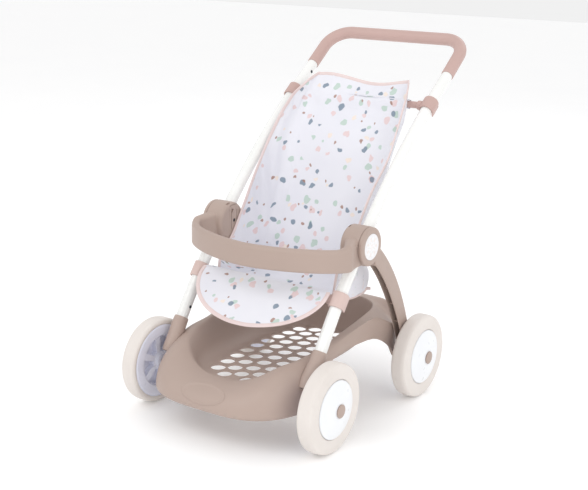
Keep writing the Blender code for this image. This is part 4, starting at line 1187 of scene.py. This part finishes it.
def seat_section(row):
    """Points from the middle of the back panel, round its fold and forward to the wing's edge."""
    fold = Vector((row[0], row[1] + FRONT_Y, row[2]))
    edge = Vector((row[3], row[4] + FRONT_Y, row[5]))
    depth = (edge - fold).length
    soft = min(0.0025 + 0.0105 * smoothstep(0.215, 0.270, fold.z), 0.42 * depth)
    inner = Vector((fold.x - soft, fold.y, fold.z))
    outer = fold.lerp(edge, soft / depth)
    points = [Vector((inner.x * k / PANEL, inner.y, inner.z)) for k in range(PANEL)]
    for k in range(CORNER):
        t = k / CORNER
        points.append(inner.lerp(fold, t).lerp(fold.lerp(outer, t), t))
    points += [outer.lerp(edge, k / WING) for k in range(WING + 1)]
    return points


def seat_grid():
    """Rows of points from one wing's edge across the back to the other's."""
    grid = []
    for row in interpolated(SEAT_SECTIONS, SEAT_ROWS):
        half = seat_section(row)
        grid.append([Vector((-p.x, p.y, p.z)) for p in half[:0:-1]] + half)
    return grid


def header_wave(point):
    """The top edge waves: high at the right-hand side and low left of the middle."""
    wave = 0.0055 * math.cos(math.pi * (point.x - 0.020) / 0.085) - 0.0020
    return wave * smoothstep(0.476, 0.500, point.z)


def shape_seat(grid):
    for line in grid:
        for p in line:
            drop = header_wave(p)
            inside = smoothstep(0.106, 0.094, abs(p.x))
            crease = math.exp(-((p.z - 0.4635 - 0.0022 * math.sin(p.x * 34)) / 0.0042) ** 2)
            puff = math.exp(-((p.z - 0.4800) / 0.0085) ** 2)
            gather = noise.noise(Vector((p.x * 62, p.z * 9, 2.6))) * math.exp(-((p.z - 0.462) / 0.022) ** 2)
            p.y += inside * (0.0022 * crease - 0.0020 * puff + 0.0016 * gather)
            p.z -= drop
            p.y += 0.55 * drop
    return grid


def grid_lengths(grid):
    """Flat cloth coordinates: across from the middle, along from the top edge."""
    columns, middle = len(grid[0]), len(grid[0]) // 2
    flat = [[None] * columns for _ in grid]
    along = 0.0
    for i, line in enumerate(grid):
        if i:
            along += (line[middle] - grid[i - 1][middle]).length
        for direction in (1, -1):
            across, j = 0.0, middle
            while 0 <= j < columns:
                flat[i][j] = (across * direction, along)
                if 0 <= j + direction < columns:
                    across += (line[j + direction] - line[j]).length
                j += direction
    return flat


def grid_mesh(name, grid, flat, offset=(0.0, 0.0)):
    """A mesh of the grid with its flat coordinates as an attribute; vertex order follows the grid."""
    columns = len(grid[0])
    points = [tuple(p) for line in grid for p in line]
    faces = []
    for i in range(len(grid) - 1):
        for j in range(columns - 1):
            a = i * columns + j
            faces.append((a, a + columns, a + columns + 1, a + 1))
    mesh = bpy.data.meshes.new(name)
    mesh.from_pydata(points, [], faces)
    values = mesh.attributes.new("cloth", "FLOAT_VECTOR", "POINT")
    spots = [spot for line in flat for spot in line]
    for (u, v), value in zip(spots, values.data):
        value.vector = (u + offset[0], v + offset[1], 0)
    return mesh


def area_of(mesh):
    return sum(face.area for face in mesh.polygons)


def simulate(item, pins, frames, slack, cap):
    """Let the cloth settle under its own weight between its pinned threads, then keep the shape."""
    scene = bpy.context.scene
    group = item.vertex_groups.new(name="pins")
    for index, weight in pins.items():
        group.add([index], weight, "REPLACE")
    start = [v.co.copy() for v in item.data.vertices]
    cloth = item.modifiers.new("cloth", "CLOTH")
    settings = cloth.settings
    settings.quality = 6
    settings.mass = 0.25
    settings.tension_stiffness = settings.compression_stiffness = 18
    settings.shear_stiffness = 8
    settings.bending_stiffness = 0.35
    settings.air_damping = 3
    settings.vertex_group_mass = "pins"
    settings.shrink_min = -slack
    settings.use_internal_springs = False
    cloth.collision_settings.use_collision = False
    cloth.point_cache.frame_start, cloth.point_cache.frame_end = 1, frames
    for frame_number in range(1, frames + 1):
        scene.frame_set(frame_number)
    graph = bpy.context.evaluated_depsgraph_get()
    settled = item.evaluated_get(graph).to_mesh()
    ends = [v.co.copy() for v in settled.vertices]
    item.evaluated_get(graph).to_mesh_clear()
    item.modifiers.remove(cloth)
    for vertex, before, after in zip(item.data.vertices, start, ends):
        step = after - before
        if step.length > cap:
            step *= cap / step.length
        vertex.co = before + step
    scene.frame_set(1)


def two_faced(item):
    """Printed side and reverse side: the reverse shows only a trace of the print."""
    item.data.materials.append(REVERSE)
    modify(item, "SUBSURF", levels=1, render_levels=1)
    modify(item, "SOLIDIFY", thickness=CLOTH, offset=0.0, material_offset=1)
    return bake(item, 60)


def unit(vector):
    return vector.normalized() if vector.length > 1e-9 else Vector((0, 0, 1))


def tape(name, edge, inward, normal, width=0.0056, thick=0.0023, seed=0):
    """Bias tape folded over a cloth edge, and the running stitch along it."""
    nose = ((width, 0.30), (width - 0.0005, 0.46), (width * 0.55, 0.52), (0.0010, 0.50), (0.0000, 0.42),
            (-0.0006, 0.24))
    profile = list(nose) + [(-0.0008, 0.0)] + [(a, -b) for a, b in nose[::-1]]
    loops = []
    for k, (p, ins, nor) in enumerate(zip(edge, inward, normal)):
        puff = 1.0 + 0.14 * noise.noise(p * 190.0 + Vector((seed, 0, 0)))
        loops.append([p + ins * a * (0.97 + 0.05 * puff) + nor * (b * thick * puff) for a, b in profile])
    strip = piece(name, loft(loops), "tape", sharp=70)
    stitches = bmesh.new()
    reach, pitch, long, slim = 0.0, 0.0031, 0.0011, 0.00026
    for k in range(1, len(edge)):
        step = (edge[k] - edge[k - 1]).length
        while reach < step:
            t = reach / max(step, 1e-9)
            p = edge[k - 1].lerp(edge[k], t)
            ins, nor = unit(inward[k - 1].lerp(inward[k], t)), unit(normal[k - 1].lerp(normal[k], t))
            along = unit(edge[k] - edge[k - 1])
            for face in (1, -1):
                middle = p + ins * (width - 0.0013) + nor * face * (thick * 0.52 + 0.00004)
                stitch(stitches, middle, along * long, ins * slim, nor * slim * 0.8)
            reach += pitch
        reach -= step
    threads = piece(name + "_stitches", stitches, "thread", sharp=80)
    return strip, threads


def stitch(shape, middle, along, across, up):
    """One thread seen on the surface: a slim six-sided spindle."""
    rings = []
    for share, size in ((-0.75, 0.75), (0.0, 1.0), (0.75, 0.75)):
        ring = []
        for k in range(6):
            a = math.pi * k / 3
            spoke = across * math.cos(a) + up * math.sin(a)
            ring.append(shape.verts.new(middle + along * share + spoke * size))
        rings.append(ring)
    ends = [shape.verts.new(middle - along), shape.verts.new(middle + along)]
    for low, high in zip(rings, rings[1:]):
        for k in range(6):
            j = (k + 1) % 6
            shape.faces.new((low[k], low[j], high[j], high[k]))
    for k in range(6):
        j = (k + 1) % 6
        shape.faces.new((ends[0], rings[0][j], rings[0][k]))
        shape.faces.new((ends[1], rings[2][k], rings[2][j]))


def normals_along(points, inward):
    out = []
    for k in range(len(points)):
        along = unit(points[min(k + 1, len(points) - 1)] - points[max(k - 1, 0)])
        out.append(unit(along.cross(inward[k])))
    return out


def seat():
    """The seat's sheet, its settled grid of points and the column of its rear fold."""
    grid = shape_seat(seat_grid())
    flat = grid_lengths(grid)
    columns = len(grid[0])
    item = piece("seat_cloth", grid_mesh("seat_cloth", grid, flat), "printed_cotton", replaced=["seat_sling"])
    item.data["flat_area"] = area_of(item.data)
    bar_y = tube_point(UPPER_BAR_Z).y
    pins = {}
    fold = PANEL + CORNER // 2
    middle = columns // 2
    for i, line in enumerate(grid):
        for j, p in enumerate(line):
            from_edge = min(j, columns - 1 - j)
            across = abs(j - middle)
            if from_edge <= 1 or i <= 1 or i >= len(grid) - 2:
                pins[i * columns + j] = 1.0
            elif abs(p.z - UPPER_BAR_Z) < 0.004 and abs(p.x) < 0.104 and p.y > bar_y - 0.012:
                pins[i * columns + j] = 1.0
            elif p.z < 0.22 and abs(across - fold) <= 1:
                pins[i * columns + j] = 0.9
    simulate(item, pins, 34, 0.009, 0.0050)
    points = [vertex.co.copy() for vertex in item.data.vertices]
    relaxed = [points[i * columns:(i + 1) * columns] for i in range(len(grid))]
    for i, line in enumerate(relaxed):
        for j, p in enumerate(line):
            ease = min(1.0, min(j, columns - 1 - j) / 4)
            p.y += 0.0007 * noise.noise(Vector((p.x * 26, p.z * 20, 1.7))) * ease
            item.data.vertices[i * columns + j].co = p
    return item, relaxed, fold


def seat_tapes(relaxed, fold):
    columns = len(relaxed[0])
    middle = columns // 2
    left = [line[0] for line in relaxed[::-1]]
    left_in = [line[3] for line in relaxed[::-1]]
    top = relaxed[0][2:-2]
    top_in = relaxed[3][2:-2]
    right = [line[-1] for line in relaxed]
    right_in = [line[-4] for line in relaxed]
    skip = 2
    edge, inner = left[:-skip] + top + right[skip:], left_in[:-skip] + top_in + right_in[skip:]
    inward = [unit(b - a) for a, b in zip(edge, inner)]
    smooth_in = []
    for k in range(len(inward)):
        near = inward[max(k - 2, 0):k + 3]
        smooth_in.append(unit(sum(near, Vector())))
    path = even_with(edge, smooth_in, 620)
    pieces = list(tape("edge_tape", path[0], path[1], normals_along(*path), seed=3))
    for label, side in SIDES:
        column = middle + side * fold
        start = next(i for i, line in enumerate(relaxed) if line[middle].z < 0.1885)
        drop = Vector((side * 0.0010, 0, -0.0018))
        seam = [relaxed[i][column] + drop for i in range(start, len(relaxed))][::-1]
        wing = [relaxed[i][column + side * 5] for i in range(start, len(relaxed))][::-1]
        lead = relaxed[-1][-1 if side > 0 else 0]
        seam = [lead.lerp(seam[0], 0.3)] + seam
        wing = [wing[0] + Vector((0, 0.004, 0.002))] + wing
        out = unit(seam[-1] - seam[-2])
        tail = Vector((0, 0.82, -0.20)).normalized()
        last = seam[-1]
        for k in range(1, 7):
            bend = min(k / 3, 1.0)
            last = last + unit(out.lerp(tail, bend)) * 0.0023
            seam.append(last)
            wing.append(last + Vector((0, -0.2, 0.8)) * 0.01)
        inward = [unit(b - a) for a, b in zip(seam, wing)]
        path = even_with(seam, inward, 150)
        pieces += tape("gusset_tape_" + label, path[0], path[1], normals_along(*path),
                       width=0.0046, seed=7 + side)
    return pieces


def even_with(points, directions, count):
    """Resample points evenly, carrying a direction at each."""
    reach = [0.0]
    for a, b in zip(points, points[1:]):
        reach.append(reach[-1] + (b - a).length)
    marks = np.linspace(0, reach[-1], count)
    spots = np.stack([np.interp(marks, reach, [p[i] for p in points]) for i in range(3)], axis=1)
    turns = np.stack([np.interp(marks, reach, [d[i] for d in directions]) for i in range(3)], axis=1)
    return [Vector(s) for s in spots], [unit(Vector(t)) for t in turns]


def sleeve(name, y, z, angles, width, flat_offset):
    """A band of the seat cloth that wraps a crossbar."""
    rows, columns = 26, 60
    grid = []
    for i in range(rows):
        a = math.radians(angles[0] + (angles[1] - angles[0]) * i / (rows - 1))
        line = []
        for j in range(columns):
            x = width * (2 * j / (columns - 1) - 1)
            radius = 0.0071 + 0.0006 * noise.noise(Vector((x * 60, a * 1.5, flat_offset[1] * 50)))
            line.append(Vector((x, y + radius * math.cos(a), z + radius * math.sin(a))))
        grid.append(line)
    item = piece(name, grid_mesh(name, grid, grid_lengths(grid), flat_offset), "printed_cotton")
    return two_faced(item)


FLAP_HALF, FLAP_LONG, FLAP_SLOPE = 0.1220, 0.0920, math.radians(36.5)


def flap_half_width(share):
    """Half width at a share of the flap's length: a half oval, drawn in a little at the crossbar."""
    pinch = 0.0030 * max(1 - share / 0.20, 0.0) ** 2
    return FLAP_HALF * math.sqrt(max(1 - share ** 2.08, 0.0)) - pinch


def flap_grid():
    """Half-oval flap: it comes up over the crossbar, then slopes forward and down."""
    top = Vector((0, FRONT_Y + 0.0697, 0.2176))
    ahead = Vector((0, -math.cos(FLAP_SLOPE), -math.sin(FLAP_SLOPE)))
    normal = Vector((0, -math.sin(FLAP_SLOPE), math.cos(FLAP_SLOPE)))
    lead = [Vector((0, FRONT_Y + y, z)) for y, z in
            ((0.0890, 0.2052), (0.0862, 0.2078), (0.0835, 0.2104), (0.0805, 0.2132), (0.0772, 0.2155),
             (0.0735, 0.2169))]
    rows = [(p, 0.0990 + 0.0033 * k, 0.0) for k, p in enumerate(lead)]
    steps = 40
    for k in range(steps):
        share = math.sin(math.pi / 2 * (k + 0.4) / steps)
        rows.append((top + ahead * FLAP_LONG * share, flap_half_width(share), share))
    grid, columns = [], 57
    for spot, half, share in rows:
        line = []
        for j in range(columns):
            u = 2 * j / (columns - 1) - 1
            across = half * math.sin(math.pi / 2 * u) * 0.35 + half * u * 0.65
            p = spot + Vector((across, 0, 0))
            free = smoothstep(0.0, 0.25, share)
            ripple = 0.0016 * noise.noise(Vector((p.x * 17, p.y * 21, 4.1))) * (0.4 + 0.6 * free)
            ripple += 0.0011 * noise.noise(Vector((p.x * 48, p.y * 22, 9.3))) * (1 - 0.6 * free)
            curl = -0.0008 * (abs(p.x) / FLAP_HALF) ** 4 * free - 0.0008 * share ** 4
            fold_near = math.exp(-((share - 0.13) / 0.07) ** 2) * 0.0016 * math.cos(p.x * 95 + 0.8)
            line.append(p + normal * (ripple + curl + fold_near * free ** 0.3 + 0.0009))
        grid.append(line)
    return grid, len(lead)


def flap():
    grid, lead = flap_grid()
    flat = grid_lengths(grid)
    item = piece("flap_cloth", grid_mesh("flap_cloth", grid, flat, (0.21, 0.47)), "printed_cotton",
                 replaced=["leg_flap"])
    area = area_of(item.data)
    left = [line[0] for line in grid[lead:]]
    right = [line[-1] for line in grid[lead:]][::-1]
    edge = left + grid[-1][1:-1] + right
    centre = sum((line[len(line) // 2] for line in grid[lead:]), Vector()) / (len(grid) - lead)
    inward = []
    for k in range(len(edge)):
        along = unit(edge[min(k + 2, len(edge) - 1)] - edge[max(k - 2, 0)])
        to_middle = centre - edge[k]
        inward.append(unit(to_middle - along * to_middle.dot(along)))
    path = even_with(edge, inward, 420)
    pieces = list(tape("flap_tape", path[0], path[1], normals_along(*path), width=0.0058, seed=5))
    two_faced(item)
    return item, area, pieces


REVERSE = printed_cotton("cotton_reverse_look", 0.72)


def fabric():
    item, relaxed, fold = seat()
    tapes = seat_tapes(relaxed, fold)
    two_faced(item)
    upper = tube_point(UPPER_BAR_Z)
    lower = tube_point(LOWER_BAR_Z)
    upper_sleeve = sleeve("upper_sleeve", upper.y, upper.z, (118, -128), 0.0978, (0.0, 0.60))
    lower_sleeve = sleeve("lower_sleeve", lower.y, lower.z, (100, 395), 0.0978, (0.0, 0.70))
    leg, leg_area, leg_tapes = flap()


# ---------------------------------------------------------------- camera, light and floor
def camera():
    data = bpy.data.cameras.new("view")
    item = linked("view", data)
    place, target = Vector((0.9703, -1.4795, 0.7278)), Vector((0.1179, -0.2148, 0.3120))
    ahead = (target - place).normalized()
    right = ahead.cross(Vector((0, 0, 1))).normalized()
    up = right.cross(ahead)
    roll = math.radians(1.12)
    right, up = right * math.cos(roll) + up * math.sin(roll), up * math.cos(roll) - right * math.sin(roll)
    item.matrix_world = Matrix.Translation(place) @ Matrix((right, up, -ahead)).transposed().to_4x4()
    data.lens, data.sensor_width = 69.15, 36.0
    data.clip_start, data.clip_end = 0.05, 50.0
    bpy.context.scene.camera = item


def softbox(name, place, aim, size, power):
    data = bpy.data.lights.new(name, "AREA")
    data.shape, data.size, data.size_y, data.energy = "RECTANGLE", size, size * 0.8, power
    item = linked(name, data)
    item.location = place
    item.rotation_euler = (Vector(aim) - Vector(place)).to_track_quat("-Z", "Y").to_euler()


def studio():
    g = Graph("floor_look")
    tone = g.vary(3.0, 2.0)
    base = g.mix(tone, (0.975, 0.975, 0.98, 1), (0.99, 0.99, 0.99, 1))
    g.set(colour=base, rough=0.8, specular=0.1)
    g.shader.inputs["Emission Color"].default_value = (1.0, 1.0, 1.0, 1.0)
    g.shader.inputs["Emission Strength"].default_value = 0.09
    mesh = bpy.data.meshes.new("floor")
    corners = [(9.0 * x, 9.0 * y, 0) for x, y in ((-1, -1), (1, -1), (1, 1), (-1, 1))]
    mesh.from_pydata(corners, [], [(0, 1, 2, 3)])
    mesh.materials.append(g.material)
    floor = linked("floor", mesh)
    floor.location.z = -0.0002
    world = bpy.data.worlds.new("studio")
    bpy.context.scene.world = world
    world.use_nodes = True
    sky = world.node_tree.nodes["Background"]
    sky.inputs["Color"].default_value = (1.0, 1.0, 1.0, 1.0)
    sky.inputs["Strength"].default_value = 0.88
    softbox("key", (-0.7, -1.9, 2.4), (0, 0, 0.2), 1.6, 14.0)
    softbox("fill", (2.0, -1.0, 1.5), (0, 0, 0.25), 1.6, 10.0)
    softbox("back", (0.3, 2.2, 2.0), (0, 0, 0.3), 1.8, 8.0)
    bpy.context.scene.view_settings.view_transform = "Standard"


def dress_remaining():
    """Frame nodes that stay visible take the same finishes as the pieces round them."""
    names = {m["node"]: m["material_slot"] for m in frame["record"]["subparts"]}
    for name, node in frame["nodes"].items():
        if not node.hide_render and names.get(name) in FINISHES:
            node.data.materials.clear()
            node.data.materials.append(FINISHES[names[name]])


base_tray()
front_sockets()
side_tubes()
snap_pins()
handle()
bumper()
housing_covers()
rear_legs()
medallions()
crossbars()
clips()
wheels()
axles()
fabric()
dress_remaining()
camera()
studio()
